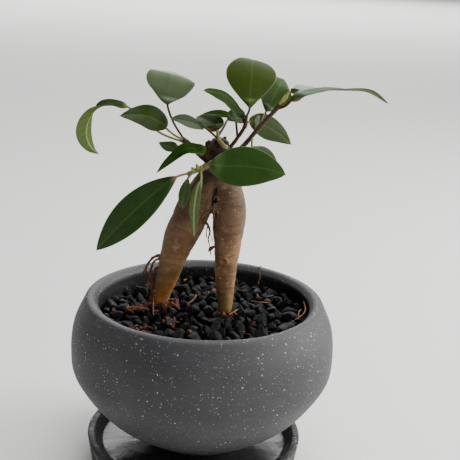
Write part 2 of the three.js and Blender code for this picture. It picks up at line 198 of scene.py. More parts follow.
def rounded(profile, count):
    """An even, smooth run of points through [radius, z] pairs."""
    curve = spline(profile, 16, knots=0)
    flat = [Vector((p.x, 0, p.y)) for p in curve]
    run = lengths(flat)
    return [(p.x, p.z) for p in walk(flat, run, [run[-1] * i / count for i in range(count + 1)])]


def piece(name, bm, finish, nodes=(), flat=False):
    """Turns a bmesh into a named piece that rides on the body and stands for CAD nodes."""
    bmesh.ops.recalc_face_normals(bm, faces=bm.faces)
    for face in bm.faces:
        face.smooth = not flat
    mesh = bpy.data.meshes.new(name)
    bm.to_mesh(mesh)
    bm.free()
    made = bpy.data.objects.new(name, mesh)
    bpy.context.scene.collection.objects.link(made)
    mesh.materials.append(finish)
    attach(made, BODY)
    if nodes:
        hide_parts(*nodes)
    return made


# ---- Finishes ----------------------------------------------------------------------------

# Where each colour on the bark starts and where it is full, in metres up the tree.
# UPPER_SHADE is painted shade over the upper trunk, and DARK_NECK turns the neck to the cut
# top's dark colour, partly as painted shade under the leaves and partly as the cut top's own colour.
MOSS = (0.092, 0.079)
ORANGE_FOOT = (0.0845, 0.0765)
OCHRE_FOOT = (0.083, 0.074)
UPPER_SHADE = (0.09, 0.12)
DARK_NECK = (0.128, 0.1395)
SAUCER_RIM = (0.0425, 0.0462)     # radii between which the glossy glaze turns rough
VEIN_GAP = 2.9                    # between the side veins of a leaf


class Tree:
    """Adds, sets and links the nodes of one node tree."""

    def __init__(self, tree):
        self.tree = tree

    def put(self, socket, value):
        if isinstance(value, bpy.types.NodeSocket):
            self.tree.links.new(value, socket)
        else:
            socket.default_value = value

    def add(self, kind, inputs=(), **settings):
        node = self.tree.nodes.new("ShaderNode" + kind)
        for key, value in settings.items():
            setattr(node, key, value)
        for key, value in dict(inputs).items():
            self.put(node.inputs[key], value)
        return node

    def math(self, operation, *values):
        return self.add("Math", enumerate(values), operation=operation).outputs[0]

    def times(self, first, second):
        return self.math("MULTIPLY", first, second)

    def plus(self, first, second):
        return self.math("ADD", first, second)

    def minus(self, first, second):
        return self.math("SUBTRACT", first, second)

    def vector(self, operation, *values):
        return self.add("VectorMath", enumerate(values), operation=operation).outputs[0]

    def blend(self, amount, first, second, kind="MIX"):
        sockets = {0: amount, 6: first, 7: second}
        return self.add("Mix", sockets, data_type="RGBA", blend_type=kind).outputs[2]

    def tinted(self, colour, tint):
        return self.blend(1.0, colour, tint, "MULTIPLY")

    def cover(self, base, *layers):
        """Lays colours over a base, each by its own mask."""
        for mask, colour in layers:
            base = self.blend(mask, base, colour)
        return base

    def step(self, value, low, high, first=0.0, last=1.0):
        """A smooth change from first to last as the value goes from low to high."""
        sockets = {"Value": value, "From Min": low, "From Max": high, "To Min": first, "To Max": last}
        return self.add("MapRange", sockets, interpolation_type="SMOOTHSTEP").outputs[0]

    def noise(self, place, scale, detail=3.0, roughness=0.5, distortion=0.0):
        sockets = {"Vector": place, "Scale": scale, "Detail": detail, "Roughness": roughness,
                   "Distortion": distortion}
        return self.add("TexNoise", sockets).outputs[0]

    def split(self, place):
        return self.add("SeparateXYZ", {0: place}).outputs

    def field(self, name):
        return self.add("Attribute", attribute_name=name).outputs["Fac"]


class Material(Tree):
    """A new material with its surface shader and the object's own coordinates."""

    def __init__(self, name):
        self.made = bpy.data.materials.new(name)
        self.made.use_nodes = True
        super().__init__(self.made.node_tree)
        self.surface = self.tree.nodes["Principled BSDF"].inputs
        self.place = self.add("TexCoord").outputs["Object"]

    def use(self, name, build, **inputs):
        """The outputs of a shared node group, which is built the first time it is asked for."""
        if name not in bpy.data.node_groups:
            build(name)
        group = bpy.data.node_groups[name]
        return self.add("Group", {"Place": self.place, **inputs}, node_tree=group).outputs

    def finish(self, colour, roughness, height, depth, specular=0.5):
        """Sets the colour, the roughness, the relief and the strength of the mirroring."""
        self.put(self.surface["Base Color"], colour)
        self.put(self.surface["Roughness"], roughness)
        relief = self.add("Bump", {"Height": height, "Distance": depth, "Strength": 1.0})
        self.put(self.surface["Normal"], relief.outputs[0])
        self.surface["Specular IOR Level"].default_value = specular
        return self.made


def rgba(colour, times=1.0):
    return (*(part * times for part in colour), 1.0)


FLOAT, VECTOR, COLOUR = "NodeSocketFloat", "NodeSocketVector", "NodeSocketColor"


def new_group(name, inputs, outputs):
    """An empty node group: its tree, the sockets that bring values in, and those out."""
    group = bpy.data.node_groups.new(name, "ShaderNodeTree")
    for way, sockets in (("INPUT", inputs), ("OUTPUT", outputs)):
        for label, kind in sockets.items():
            group.interface.new_socket(label, in_out=way, socket_type=kind)
    come = group.nodes.new("NodeGroupInput").outputs
    return Tree(group), come, group.nodes.new("NodeGroupOutput").inputs


def build_specks(name):
    """Round-ish specks of many sizes, in cells of the given size, with a shade for each."""
    tree, come, go = new_group(
        name, {"Place": VECTOR, "Cells": FLOAT, "Largest": FLOAT}, {"Mask": FLOAT, "Shade": FLOAT})
    wander = tree.add("TexNoise", {"Vector": come["Place"], "Scale": 1300.0, "Detail": 2.0}).outputs[1]
    shift = tree.vector("SCALE", tree.vector("SUBTRACT", wander, (0.5, 0.5, 0.5)))
    shift.node.inputs["Scale"].default_value = 0.0011
    place = tree.vector("ADD", come["Place"], shift)
    cells = tree.add("TexVoronoi", {"Vector": place, "Scale": come["Cells"]})
    chance = tree.split(cells.outputs["Color"])
    radius = tree.times(tree.math("POWER", chance[0], 1.6), come["Largest"])
    tree.put(go["Mask"], tree.step(cells.outputs["Distance"], radius, tree.times(radius, 0.6)))
    tree.put(go["Shade"], chance[1])


def build_grain(name):
    """Fine and coarse unevenness, as values from 0 to 1."""
    tree, come, go = new_group(
        name, {"Place": VECTOR, "Coarse": FLOAT, "Fine": FLOAT}, {"Cloud": FLOAT, "Grit": FLOAT})
    tree.put(go["Cloud"], tree.noise(come["Place"], come["Coarse"], 4.0, 0.55))
    tree.put(go["Grit"], tree.noise(come["Place"], come["Fine"], 3.0, 0.6))


def build_rings(name):
    """The fine rings round a stem, uneven in depth, and scattered lenticels."""
    tree, come, go = new_group(
        name, {"Place": VECTOR, "Along": FLOAT, "Spacing": FLOAT},
        {"Rings": FLOAT, "Warts": FLOAT, "Fibre": FLOAT})
    cross = tree.vector("MULTIPLY", come["Place"], (160.0, 160.0, 30.0))
    sway = tree.times(tree.noise(cross, 1.0, 2.0), 2.4)
    level = tree.math("DIVIDE", tree.plus(come["Along"], sway), come["Spacing"])
    parts = tree.split(cross)
    sockets = {0: tree.times(parts[0], 0.5), 1: tree.times(parts[1], 0.5), 2: level}
    place = tree.add("CombineXYZ", sockets).outputs[0]
    tree.put(go["Rings"], tree.noise(place, 1.0, 3.0, 0.6))
    spots = tree.add("TexVoronoi", {"Vector": come["Place"], "Scale": 420.0, "Randomness": 1.0})
    chance = tree.split(spots.outputs["Color"])
    size = tree.times(tree.math("POWER", chance[0], 3.0), 0.3)
    tree.put(go["Warts"], tree.step(spots.outputs["Distance"], size, tree.times(size, 0.4)))
    tree.put(go["Fibre"], tree.noise(come["Place"], 1700.0, 2.0, 0.6))


def build_leaf_skin(name):
    """Midrib, side veins, margin and blotches of a leaf, upper and under side."""
    inputs = {"Place": VECTOR}
    inputs |= dict.fromkeys(("Along", "Rib", "Margin", "Under", "Stalk"), FLOAT)
    inputs |= dict.fromkeys(("Upper", "Lower", "Stem"), COLOUR)
    tree, come, go = new_group(name, inputs, {"Color": COLOUR, "Roughness": FLOAT, "Height": FLOAT})
    off = tree.math("ABSOLUTE", come["Rib"])
    midrib = tree.step(off, 0.62, 0.1)
    wander = tree.times(tree.noise(come["Place"], 130.0, 2.0), 2.2)
    slant = tree.minus(tree.plus(come["Along"], wander), tree.times(off, 0.62))
    wave = tree.math("PINGPONG", tree.math("DIVIDE", slant, VEIN_GAP), 0.5)
    veins = tree.times(tree.step(wave, 0.075, 0.0), tree.step(come["Margin"], 0.92, 0.6))
    edge = tree.step(come["Margin"], 0.93, 0.995)
    blotch = tree.noise(come["Place"], 210.0, 4.0, 0.6)
    fine = tree.noise(come["Place"], 1500.0, 2.0, 0.5)
    pale = tree.blend(0.5, come["Upper"], (0.2, 0.28, 0.1, 1))
    upper = tree.cover(
        come["Upper"],
        (tree.step(blotch, 0.3, 0.75, 0.0, 0.6), tree.tinted(come["Upper"], (0.62, 0.72, 0.7, 1))),
        (tree.math("MAXIMUM", tree.times(midrib, 0.22), tree.times(veins, 0.06)), pale),
        (tree.times(edge, 0.5), (0.16, 0.2, 0.1, 1)))
    lower = tree.cover(
        come["Lower"],
        (tree.step(blotch, 0.3, 0.75, 0.0, 0.5), tree.tinted(come["Lower"], (0.7, 0.8, 0.7, 1))),
        (tree.math("MAXIMUM", tree.times(midrib, 0.7), tree.times(veins, 0.2)), (0.34, 0.42, 0.2, 1)))
    tree.put(go["Color"], tree.cover(upper, (come["Under"], lower), (come["Stalk"], come["Stem"])))
    gloss = tree.plus(tree.times(come["Under"], 0.16), 0.32)
    tree.put(go["Roughness"], tree.plus(gloss, tree.times(blotch, 0.14)))
    tree.put(go["Height"], tree.plus(tree.times(veins, 0.1), tree.times(fine, 0.25)))


def stoneware(colours, sizes):
    """Matte charcoal stoneware with pale specks and small pits."""
    tree = Material("speckled stoneware")
    grain = tree.use("grain", build_grain, Coarse=45.0, Fine=1800.0)
    cells = 1 / sizes.speck_spacing
    coarse = tree.use("specks", build_specks, Cells=cells, Largest=0.2)
    fine = tree.use("specks", build_specks, Cells=cells * 2.3, Largest=0.24)
    pits = tree.use("specks", build_specks, Cells=cells * 0.8, Largest=0.12)
    body = colours.stoneware
    pink = tree.blend(coarse["Shade"], rgba(colours.speck), (0.55, 0.42, 0.36, 1))
    clay = tree.cover(
        tree.blend(tree.step(grain["Cloud"], 0.35, 0.7), rgba(body, 0.82), rgba(body, 1.14)),
        (tree.step(grain["Grit"], 0.4, 0.7, 0.0, 0.35), rgba(body, 0.7)),
        (tree.times(fine["Mask"], 0.85), pink),
        (tree.times(coarse["Mask"], 0.9), pink))
    bits = tree.minus(tree.times(coarse["Mask"], 0.5), pits["Mask"])
    relief = tree.plus(tree.times(grain["Grit"], 0.6), bits)
    return tree.finish(clay, tree.step(grain["Grit"], 0.3, 0.7, 0.55, 0.72), relief, 0.00012)


def dark_glaze(colours):
    """The saucer: rough and streaked on the rim, and a wet glossy glaze inside."""
    tree = Material("wet dark glaze")
    grain = tree.use("grain", build_grain, Coarse=75.0, Fine=1200.0)
    specks = tree.use("specks", build_specks, Cells=330.0, Largest=0.17)
    x, y, _ = tree.split(tree.place)
    rim = tree.step(tree.math("SQRT", tree.plus(tree.times(x, x), tree.times(y, y))), *SAUCER_RIM)
    sway = tree.noise(tree.vector("MULTIPLY", tree.place, (1.0, 1.0, 3.0)), 150.0, 4.0, 0.65, 1.2)
    streaks = tree.step(sway, 0.5, 0.62)
    wet = tree.step(tree.noise(tree.place, 60.0, 3.0, 0.5, 0.8), 0.42, 0.54)
    glaze = colours.glaze
    base = tree.cover(
        tree.blend(tree.step(grain["Cloud"], 0.3, 0.7), rgba(glaze, 0.8), rgba(glaze, 1.5)),
        (rim, tree.blend(tree.times(streaks, 0.4), rgba(glaze, 1.4), (0.09, 0.094, 0.1, 1))),
        (tree.times(specks["Mask"], tree.step(rim, 0, 1, 0.15, 0.7)), rgba(colours.speck)))
    floor_gloss = tree.minus(0.34, tree.times(wet, 0.27))
    rim_gloss = tree.minus(0.6, tree.times(streaks, 0.22))
    gloss = tree.add("Mix", {0: rim, 2: floor_gloss, 3: rim_gloss}).outputs[0]
    tree.put(tree.surface["Coat Weight"], tree.times(wet, 0.1))
    tree.surface["Coat Roughness"].default_value = 0.06
    relief = tree.plus(tree.times(sway, tree.step(rim, 0, 1, 0.15, 1.0)), tree.times(grain["Grit"], 0.2))
    return tree.finish(base, gloss, relief, 0.0005, 0.16)


def stone(name, colour, dust):
    """Porous lava stone: grey facets, dusty tops and small pits."""
    tree = Material(name)
    grain = tree.use("grain", build_grain, Coarse=170.0, Fine=1500.0)
    pits = tree.use("specks", build_specks, Cells=900.0, Largest=0.42)["Mask"]
    base = tree.cover(
        tree.blend(tree.step(grain["Cloud"], 0.35, 0.68), rgba(colour, 0.55), rgba(colour, 1.6)),
        (tree.step(grain["Grit"], 0.52, 0.72, 0.0, 0.4), rgba(dust)),
        (tree.times(pits, 0.7), rgba(colour, 0.3)))
    relief = tree.minus(tree.times(grain["Grit"], 0.9), tree.times(pits, 0.8))
    return tree.finish(base, tree.step(grain["Cloud"], 0.3, 0.7, 0.5, 0.8), relief, 0.00035, 0.16)


def crumbs(name, colour, dark):
    """Dry bark crumbs and root fibres."""
    tree = Material(name)
    grain = tree.use("grain", build_grain, Coarse=260.0, Fine=2200.0)
    base = tree.cover(
        tree.blend(tree.step(grain["Cloud"], 0.35, 0.65), rgba(dark), rgba(colour)),
        (tree.step(grain["Grit"], 0.4, 0.7, 0, 0.4), rgba(dark, 0.6)))
    return tree.finish(base, tree.step(grain["Grit"], 0.3, 0.7, 0.7, 0.9), grain["Grit"], 0.0003)


def bark(colours):
    """Thin ringed bark with pale patches, mossy and orange at the feet. Painted shade darkens
    the upper trunk and the crease between the legs, and the neck turns to the cut top's dark
    colour, partly as painted shade under the leaves and partly as the cut top's own colour.
    """
    tree = Material("ringed bark")
    along = tree.field("along")
    rings = tree.use("rings", build_rings, Along=along, Spacing=0.95)
    broad = tree.use("rings", build_rings, Along=along, Spacing=4.2)
    grain = tree.use("grain", build_grain, Coarse=95.0, Fine=1900.0)
    worn = tree.noise(tree.place, 330.0, 4.0, 0.65)
    patchy = tree.step(tree.noise(tree.place, 240.0, 3.0, 0.6), 0.3, 0.55)
    x, _, z = tree.split(tree.place)
    uneven = tree.times(tree.minus(grain["Cloud"], 0.5), 0.02)
    height = tree.minus(tree.plus(z, uneven), TREE_LIFT.z * MM)
    left = tree.step(x, 0.0, -0.006)
    moss = tree.times(tree.step(height, *MOSS), left)
    orange = tree.times(tree.step(height, *ORANGE_FOOT), left)
    ochre = tree.times(tree.step(height, *OCHRE_FOOT), tree.minus(1.0, left))
    skin, pale = colours.bark, colours.bark_pale
    base = tree.cover(
        tree.blend(tree.step(grain["Cloud"], 0.32, 0.68), rgba(skin, 0.62), rgba(skin, 1.2)),
        (tree.step(rings["Rings"], 0.48, 0.34, 0.0, 0.5), rgba(skin, 0.36)),
        (tree.step(broad["Rings"], 0.52, 0.72, 0.0, 0.28), rgba(pale)),
        (tree.times(rings["Warts"], 0.75), rgba(pale, 1.25)),
        (tree.step(rings["Fibre"], 0.55, 0.75, 0.0, 0.4), rgba(skin, 0.4)),
        (tree.step(worn, 0.52, 0.7, 0.0, 0.6), rgba(pale)),
        # Painted shade: the crease between the legs, darkened with half the knob colour.
        (tree.step(tree.field("crease"), 0.15, 0.8, 0.0, 0.85), rgba(colours.knob, 0.5)),
        (tree.times(moss, 0.35), rgba(colours.moss)),
        (tree.times(orange, tree.times(patchy, 0.95)), rgba(colours.foot)),
        (tree.times(ochre, 0.6), rgba(colours.foot_right)))
    # Painted shade: the upper trunk is multiplied darker, and the neck turns to the knob colour, partly as
    # painted shade under the leaves and partly as the cut top's own dark colour.
    base = tree.cover(
        base,
        (tree.step(height, *UPPER_SHADE), tree.tinted(base, (0.37, 0.36, 0.35, 1))),
        (tree.times(tree.step(height, *DARK_NECK), 0.88), rgba(colours.knob)))
    relief = tree.plus(rings["Rings"], tree.times(rings["Warts"], 0.5))
    relief = tree.plus(relief, tree.times(rings["Fibre"], 0.35))
    return tree.finish(base, tree.step(rings["Fibre"], 0.3, 0.7, 0.5, 0.74), relief, 0.00038, 0.35)


def stem(name, colour, node_colour, ring_spacing=0.8):
    """Young bark or green stem with fine rings, darker at its nodes."""
    tree = Material(name)
    along = tree.field("along")
    rings = tree.use("rings", build_rings, Along=along, Spacing=ring_spacing)
    broad = tree.use("rings", build_rings, Along=along, Spacing=3.2)
    base = tree.cover(
        tree.blend(tree.step(broad["Rings"], 0.42, 0.6), rgba(colour), rgba(node_colour)),
        (tree.step(rings["Rings"], 0.48, 0.33, 0.0, 0.5), rgba(node_colour, 0.6)),
        (tree.times(rings["Warts"], 0.5), rgba(colour, 1.9)))
    relief = tree.plus(rings["Rings"], rings["Warts"])
    return tree.finish(base, tree.step(rings["Fibre"], 0.3, 0.7, 0.4, 0.6), relief, 0.00018, 0.2)


def leaf_skin(name, upper, lower, stalk_colour, sheen):
    """One leaf's waxy skin."""
    tree = Material(name)
    fields = {label: tree.field(label.lower()) for label in ("Along", "Rib", "Margin", "Under", "Stalk")}
    skin = tree.use("leaf skin", build_leaf_skin, **fields, Upper=upper, Lower=lower, Stem=stalk_colour)
    return tree.finish(skin["Color"], skin["Roughness"], skin["Height"], 0.00012, sheen)


def plain_grain(name, colour, roughness, coarse, relief):
    """The soil and the mesh, which stay hidden under the gravel."""
    tree = Material(name)
    grain = tree.use("grain", build_grain, Coarse=coarse, Fine=coarse * 9)
    base = tree.blend(tree.step(grain["Cloud"], 0.35, 0.65), rgba(colour, 0.6), rgba(colour, 1.5))
    dry = tree.step(grain["Grit"], 0.3, 0.7, roughness, min(roughness + 0.15, 1))
    return tree.finish(base, dry, grain["Grit"], relief)


# ---- Settings ----------------------------------------------------------------------------

def colour_setting(name, description, default):
    return FloatVectorProperty(
        name=name, description=description, default=default, min=0, max=1, subtype="COLOR")


def length_setting(name, description, default, low, high):
    return FloatProperty(
        name=name, description=description, default=default, min=low, max=high,
        subtype="DISTANCE", unit="LENGTH")


class BonsaiSizes(bpy.types.PropertyGroup):
    stone_size: length_setting("Stone size", "Mean width of a gravel stone", 0.0064, 0.003, 0.012)
    speck_spacing: length_setting(
        "Speck spacing", "Mean distance between the bowl's larger specks", 0.0019, 0.001, 0.01)
    leaf_thickness: length_setting(
        "Leaf thickness", "Thickness of a leaf blade", 0.00042, 0.0002, 0.0008)
    bark_detail: length_setting(
        "Bark detail", "Spacing of the trunk's mesh", 0.00045, 0.0003, 0.001)
    crumb_count: IntProperty(
        name="Crumbs", description="Number of bark crumbs on the gravel", default=240, min=0, max=400)


class BonsaiColours(bpy.types.PropertyGroup):
    stoneware: colour_setting("Stoneware", "Body colour of the bowl", (0.037, 0.0375, 0.041))
    speck: colour_setting("Speck", "Specks in the stoneware", (0.75, 0.7, 0.66))
    glaze: colour_setting("Glaze", "Glaze of the saucer", (0.022, 0.021, 0.021))
    lava: colour_setting("Lava", "Gravel stones", (0.0034, 0.0033, 0.0038))
    lava_dust: colour_setting("Lava dust", "Dust on the gravel stones", (0.014, 0.0135, 0.0155))
    crumb: colour_setting("Crumb", "Bark crumbs on the gravel", (0.17, 0.045, 0.015))
    bark: colour_setting("Bark", "Bark of the root legs", (0.26, 0.135, 0.058))
    bark_pale: colour_setting("Pale bark", "Worn patches of the bark", (0.46, 0.29, 0.16))
    moss: colour_setting("Moss", "Greenish skin low on the left leg", (0.12, 0.12, 0.03))
    foot: colour_setting("Left foot", "Orange skin at the left foot", (0.52, 0.17, 0.012))
    foot_right: colour_setting("Right foot", "Ochre skin at the right foot", (0.2, 0.13, 0.04))
    # Also the dark of the painted shade in the crease and over the neck.
    knob: colour_setting("Knob", "Cut top of the trunk", (0.033, 0.017, 0.011))
    rootlet: colour_setting("Rootlet", "Dry aerial roots", (0.19, 0.075, 0.038))
    young_bark: colour_setting("Young bark", "Bark of the shoots", (0.06, 0.026, 0.012))
    green_stem: colour_setting("Green stem", "Green shoots and stalks", (0.2, 0.22, 0.07))
    bud: colour_setting("Bud", "Bud scales", (0.22, 0.27, 0.06))
    leaf: colour_setting("Leaf", "Upper side of a leaf", (0.026, 0.062, 0.01))
    leaf_olive: colour_setting("Olive leaf", "Upper side of an older leaf", (0.042, 0.068, 0.005))
    # Painted sheen: the pale grey-green of the bright sky mirrored on a leaf, mixed into its upper colour.
    leaf_painted_sheen: colour_setting("Dull leaf", "Waxy bloom on a leaf's upper side", (0.095, 0.13, 0.062))
    leaf_under: colour_setting("Leaf underside", "Under side of a leaf", (0.095, 0.135, 0.042))
    floor: colour_setting("Floor", "Plain floor of the stage", (0.74, 0.73, 0.71))


def settings(context):
    return context.scene.bonsai_sizes, context.scene.bonsai_colours


# ---- Stage -------------------------------------------------------------------------------

CAMERA_PLACE = (0.0127, -0.3848, 0.2249)
CAMERA_DIP = math.radians(16.36)
CAMERA_ROLL = math.radians(2.7)
CAMERA_LENS = 70.43         # millimetres, on a sensor 36 wide
FLOOR_WIDTH = 30.0
FLOOR_Z = -0.0001           # just under the saucer
WORLD_COLOUR = (0.9, 0.91, 0.92, 1)
WORLD_STRENGTH = 0.2

LIGHTS = [
    # name, place, aimed at, width, watts, colour
    ("window", (0.95, 0.15, 0.55), (0, 0, 0.1), 0.6, 20.0, (1.0, 0.995, 0.98)),
    ("sky panel", (0.15, 0.1, 1.15), (0, 0, 0.1), 0.8, 11.5, (0.97, 0.985, 1.0)),
    ("front fill", (0.6, -1.0, 0.45), (0, 0, 0.09), 0.5, 4.2, (1.0, 0.985, 0.96)),
    ("backdrop", (0, 5.0, 2.4), (0, 4.6, 0), 5.0, 420.0, (1.0, 1.0, 1.0)),
]


class BONSAI_OT_stage(bpy.types.Operator):
    """Adds the floor, the lights and the camera"""
    bl_idname = "bonsai.stage"
    bl_label = "Stage"

    def execute(self, context):
        colours = settings(context)[1]
        scene = context.scene
        bm = bmesh.new()
        bmesh.ops.create_grid(bm, x_segments=8, y_segments=8, size=FLOOR_WIDTH / 2)
        mesh = bpy.data.meshes.new("floor")
        bm.to_mesh(mesh)
        bm.free()
        floor = bpy.data.objects.new("floor", mesh)
        floor.location.z = FLOOR_Z
        scene.collection.objects.link(floor)
        tree = Material("pale floor")
        grit = tree.noise(tree.place, 700.0, 3.0)
        pale = tree.blend(grit, rgba(colours.floor, 0.98), rgba(colours.floor))
        tree.put(tree.surface["Base Color"], pale)
        tree.put(tree.surface["Roughness"], tree.step(grit, 0.3, 0.7, 0.8, 0.9))
        mesh.materials.append(tree.made)

        for name, place, target, width, watts, colour in LIGHTS:
            lamp = bpy.data.lights.new(name, "AREA")
            lamp.shape = "SQUARE"
            lamp.size = width
            lamp.energy = watts
            lamp.color = colour
            made = bpy.data.objects.new(name, lamp)
            made.location = place
            made.rotation_euler = (Vector(target) - Vector(place)).to_track_quat("-Z", "Y").to_euler()
            scene.collection.objects.link(made)

        world = bpy.data.worlds.new("studio")
        world.use_nodes = True
        background = world.node_tree.nodes["Background"].inputs
        background["Color"].default_value = WORLD_COLOUR
        background["Strength"].default_value = WORLD_STRENGTH
        scene.world = world

        lens = bpy.data.cameras.new("camera")
        lens.lens = CAMERA_LENS
        lens.clip_start = 0.01
        camera = bpy.data.objects.new("camera", lens)
        look = Matrix.Rotation(math.pi / 2 - CAMERA_DIP, 4, "X") @ Matrix.Rotation(CAMERA_ROLL, 4, "Z")
        camera.matrix_world = Matrix.Translation(CAMERA_PLACE) @ look
        scene.collection.objects.link(camera)
        scene.camera = camera
        return {"FINISHED"}


# ---- Saucer and pot ----------------------------------------------------------------------

SAUCER_PROFILE = [
    (0, 0), (30, 0), (46.6, 0), (47.6, 0.3), (48.2, 1.1), (48.7, 4), (49.3, 8), (49.8, 11.4),
    (50, 12.5), (49.7, 13.05), (49, 13.25), (48, 13.15), (47, 12.95), (46.5, 12.4), (45.6, 11.2),
    (44.2, 9.6), (43.2, 8.6), (42, 8.1), (40, 8), (30, 8), (16, 8), (0, 8),
]
SAUCER_FOOT = 2 * MM        # below this the saucer stays even
SAUCER_WALL = 40 * MM       # beyond this radius it gets a finer mesh

# Heights in the pot's profiles are above its base.
POT_FOOT = [(6, 6), (6, 1), (12.6, 1), (13.4, 0.6), (14, 0), (17.2, 0), (17.8, 0.15)]
POT_OUTSIDE = [(18, 0.4), (26.3, 5.4), (45.6, 19.2), (57.9, 35.8), (60, 47.5), (58.7, 59.5), (53.8, 70.8)]
POT_LIP = [(53.3, 71.35), (52.6, 71.75), (51.6, 71.95), (50.6, 71.8), (49.8, 71.35), (49.2, 70.7),
           (48.6, 70.0)]
POT_INSIDE = [(47.9, 69.2), (52.6, 61), (55, 49), (52.6, 37), (40.5, 22), (24, 10.5), (14, 6)]


class BONSAI_OT_saucer(bpy.types.Operator):
    """Adds the saucer"""
    bl_idname = "bonsai.saucer"
    bl_label = "Saucer"

    def execute(self, context):
        bm = start()
        spun(bm, SAUCER_PROFILE, 160)
        wall = {v for v in bm.verts if v.co.z > SAUCER_FOOT and v.co.xy.length > SAUCER_WALL}
        cuts = [edge for edge in bm.edges if wall.issuperset(edge.verts)]
        bmesh.ops.subdivide_edges(bm, edges=cuts, cuts=1, use_grid_fill=True)
        upper = [vert for vert in bm.verts if vert.co.z > SAUCER_FOOT]
        roughen(bm, 9.0, 0.16, verts=upper)
        roughen(bm, 2.6, 0.1, verts=upper)
        piece("saucer_glazed", bm, dark_glaze(settings(context)[1]), ["saucer"])
        return {"FINISHED"}


class BONSAI_OT_pot(bpy.types.Operator):
    """Adds the bowl"""
    bl_idname = "bonsai.pot"
    bl_label = "Bowl"

    def execute(self, context):
        sizes, colours = settings(context)
        bm = start()
        profile = POT_FOOT + rounded(POT_OUTSIDE, 46) + POT_LIP + rounded(POT_INSIDE, 30)
        spun(bm, [(r, z + POT_BASE_Z) for r, z in profile], 180, centre_x=POT_X, closed=True)
        roughen(bm, 22.0, 0.22)
        roughen(bm, 4.0, 0.05, stretch=(0.4, 0.4, 1.6))
        piece("pot_bowl", bm, stoneware(colours, sizes), ["pot"])
        return {"FINISHED"}


# ---- Gravel ------------------------------------------------------------------------------

GRAVEL_Z = 73.0
GRAVEL_CROWN = 1.2
MOUTH = 47.2
FEET = [(-18.6, 4.2, 4.0), (12.3, -2.6, 3.0)]          # x, y and radius where the legs enter
STONE_KINDS = 14
GRAVEL_SEED = 11
TOP_TRIES, DEEP_TRIES = 5200, 2600     # how often a stone is tried in each layer
CRUMB_REACH = 43                       # radius of the bed that has stray crumbs

# Where crumbs gather: the share of them all up to this heap, its middle and its spread.
HEAPS = [
    (0.3, (-14.5, 0.5), (2.6, 2.6)),
    (0.5, (-27, -5), (3.2, 2.2)),
    (0.6, (-23, -27), (2.5, 1.5)),
    (0.7, (-12, -20), (2.0, 1.8)),
    (0.78, (12, -7), (2.4, 1.4)),
]

# Dry roots that lie on the gravel: x, y, z and radius.
THREADS = [
    [(48.5, 8, 72.5, 0.25), (49, 2, 71.6, 0.35), (47.4, -6, 71.8, 0.3), (43.5, -12, 71.4, 0.2)],
    [(47.2, 2, 71, 0.2), (45.5, -5, 72.4, 0.25), (45, -11, 71.2, 0.2)],
    [(27.8, 36, 70, 0.3), (28.6, 36.5, 73.6, 0.35), (27.9, 37, 77.4, 0.3), (28.8, 37, 79.6, 0.2)],
    [(27.8, 37, 77.8, 0.25), (26.8, 37, 79.2, 0.15)],
    [(-2.2, 14, 71, 0.3), (-1.6, 9, 72.6, 0.3), (-3.2, 4, 72, 0.25), (-5.5, 1, 71, 0.2)],
    [(-1.6, 9, 72.6, 0.2), (0.2, 8, 73.6, 0.15)],
    [(-20.5, -1, 74.5, 0.35), (-20.2, -6, 72.4, 0.35), (-19.6, -12, 72.6, 0.25), (-19.2, -15, 71.6, 0.15)],
    [(-31, -6, 71.2, 0.25), (-27, -8, 72.2, 0.3), (-22.5, -7.5, 71.6, 0.2)],
    [(14, -10, 71.4, 0.2), (17, -6.5, 72.3, 0.25), (19.5, -1, 71.4, 0.2)],
    [(24, 8, 71.8, 0.2), (29, 5, 72.4, 0.22), (33, 7, 71.6, 0.2)],
]


def random_vector(rng):
    return Vector([rng.gauss(0, 1) for _ in range(3)])


def random_turn(rng):
    return random_vector(rng).rotation_difference(random_vector(rng))


def cut_stone(rng, cuts, soft):
    """An angular stone about one unit across: a block with random corners cut off."""
    bm = bmesh.new()
    bmesh.ops.create_cube(bm, size=1.0)
    bmesh.ops.scale(bm, vec=(rng.uniform(0.8, 1.15), rng.uniform(0.7, 1.0), rng.uniform(0.6, 0.9)),
                    verts=bm.verts)
    for _ in range(cuts):
        aim = random_vector(rng).normalized()
        geometry = bm.verts[:] + bm.edges[:] + bm.faces[:]
        made = bmesh.ops.bisect_plane(bm, geom=geometry, plane_co=aim * rng.uniform(0.33, 0.46),
                                      plane_no=aim, clear_outer=True)
        edges = [item for item in made["geom_cut"] if isinstance(item, bmesh.types.BMEdge)]
        if edges:
            bmesh.ops.edgeloop_fill(bm, edges=edges)
    bmesh.ops.remove_doubles(bm, verts=bm.verts, dist=0.06)
    bmesh.ops.convex_hull(bm, input=bm.verts)
    bmesh.ops.dissolve_limit(bm, angle_limit=0.12, verts=bm.verts, edges=bm.edges)
    if soft:
        bmesh.ops.bevel(bm, geom=bm.edges[:], offset=0.06, segments=1, affect="EDGES", profile=0.5,
                        material=-1)
    bmesh.ops.recalc_face_normals(bm, faces=bm.faces)
    mesh = bpy.data.meshes.new("stone shape")
    bm.to_mesh(mesh)
    bm.free()
    return mesh


def scatter(bm, shapes, spots):
    """Puts shapes into a bmesh, each at a place with a turn and a size."""
    for kind, place, turn, size in spots:
        before = len(bm.verts)
        bm.from_mesh(shapes[kind % len(shapes)])
        bm.verts.ensure_lookup_table()
        matrix = Matrix.LocRotScale(Vector(place) * MM, turn, Vector(size) * MM)
        bmesh.ops.transform(bm, matrix=matrix, verts=bm.verts[before:])


def bed_height(x, y):
    part = math.hypot(x - POT_X, y) / MOUTH
    return GRAVEL_Z + GRAVEL_CROWN * (1 - part * part)


def in_a_leg(x, y, spare=0.0):
    return any(math.hypot(x - fx, y - fy) < fr + spare for fx, fy, fr in FEET)


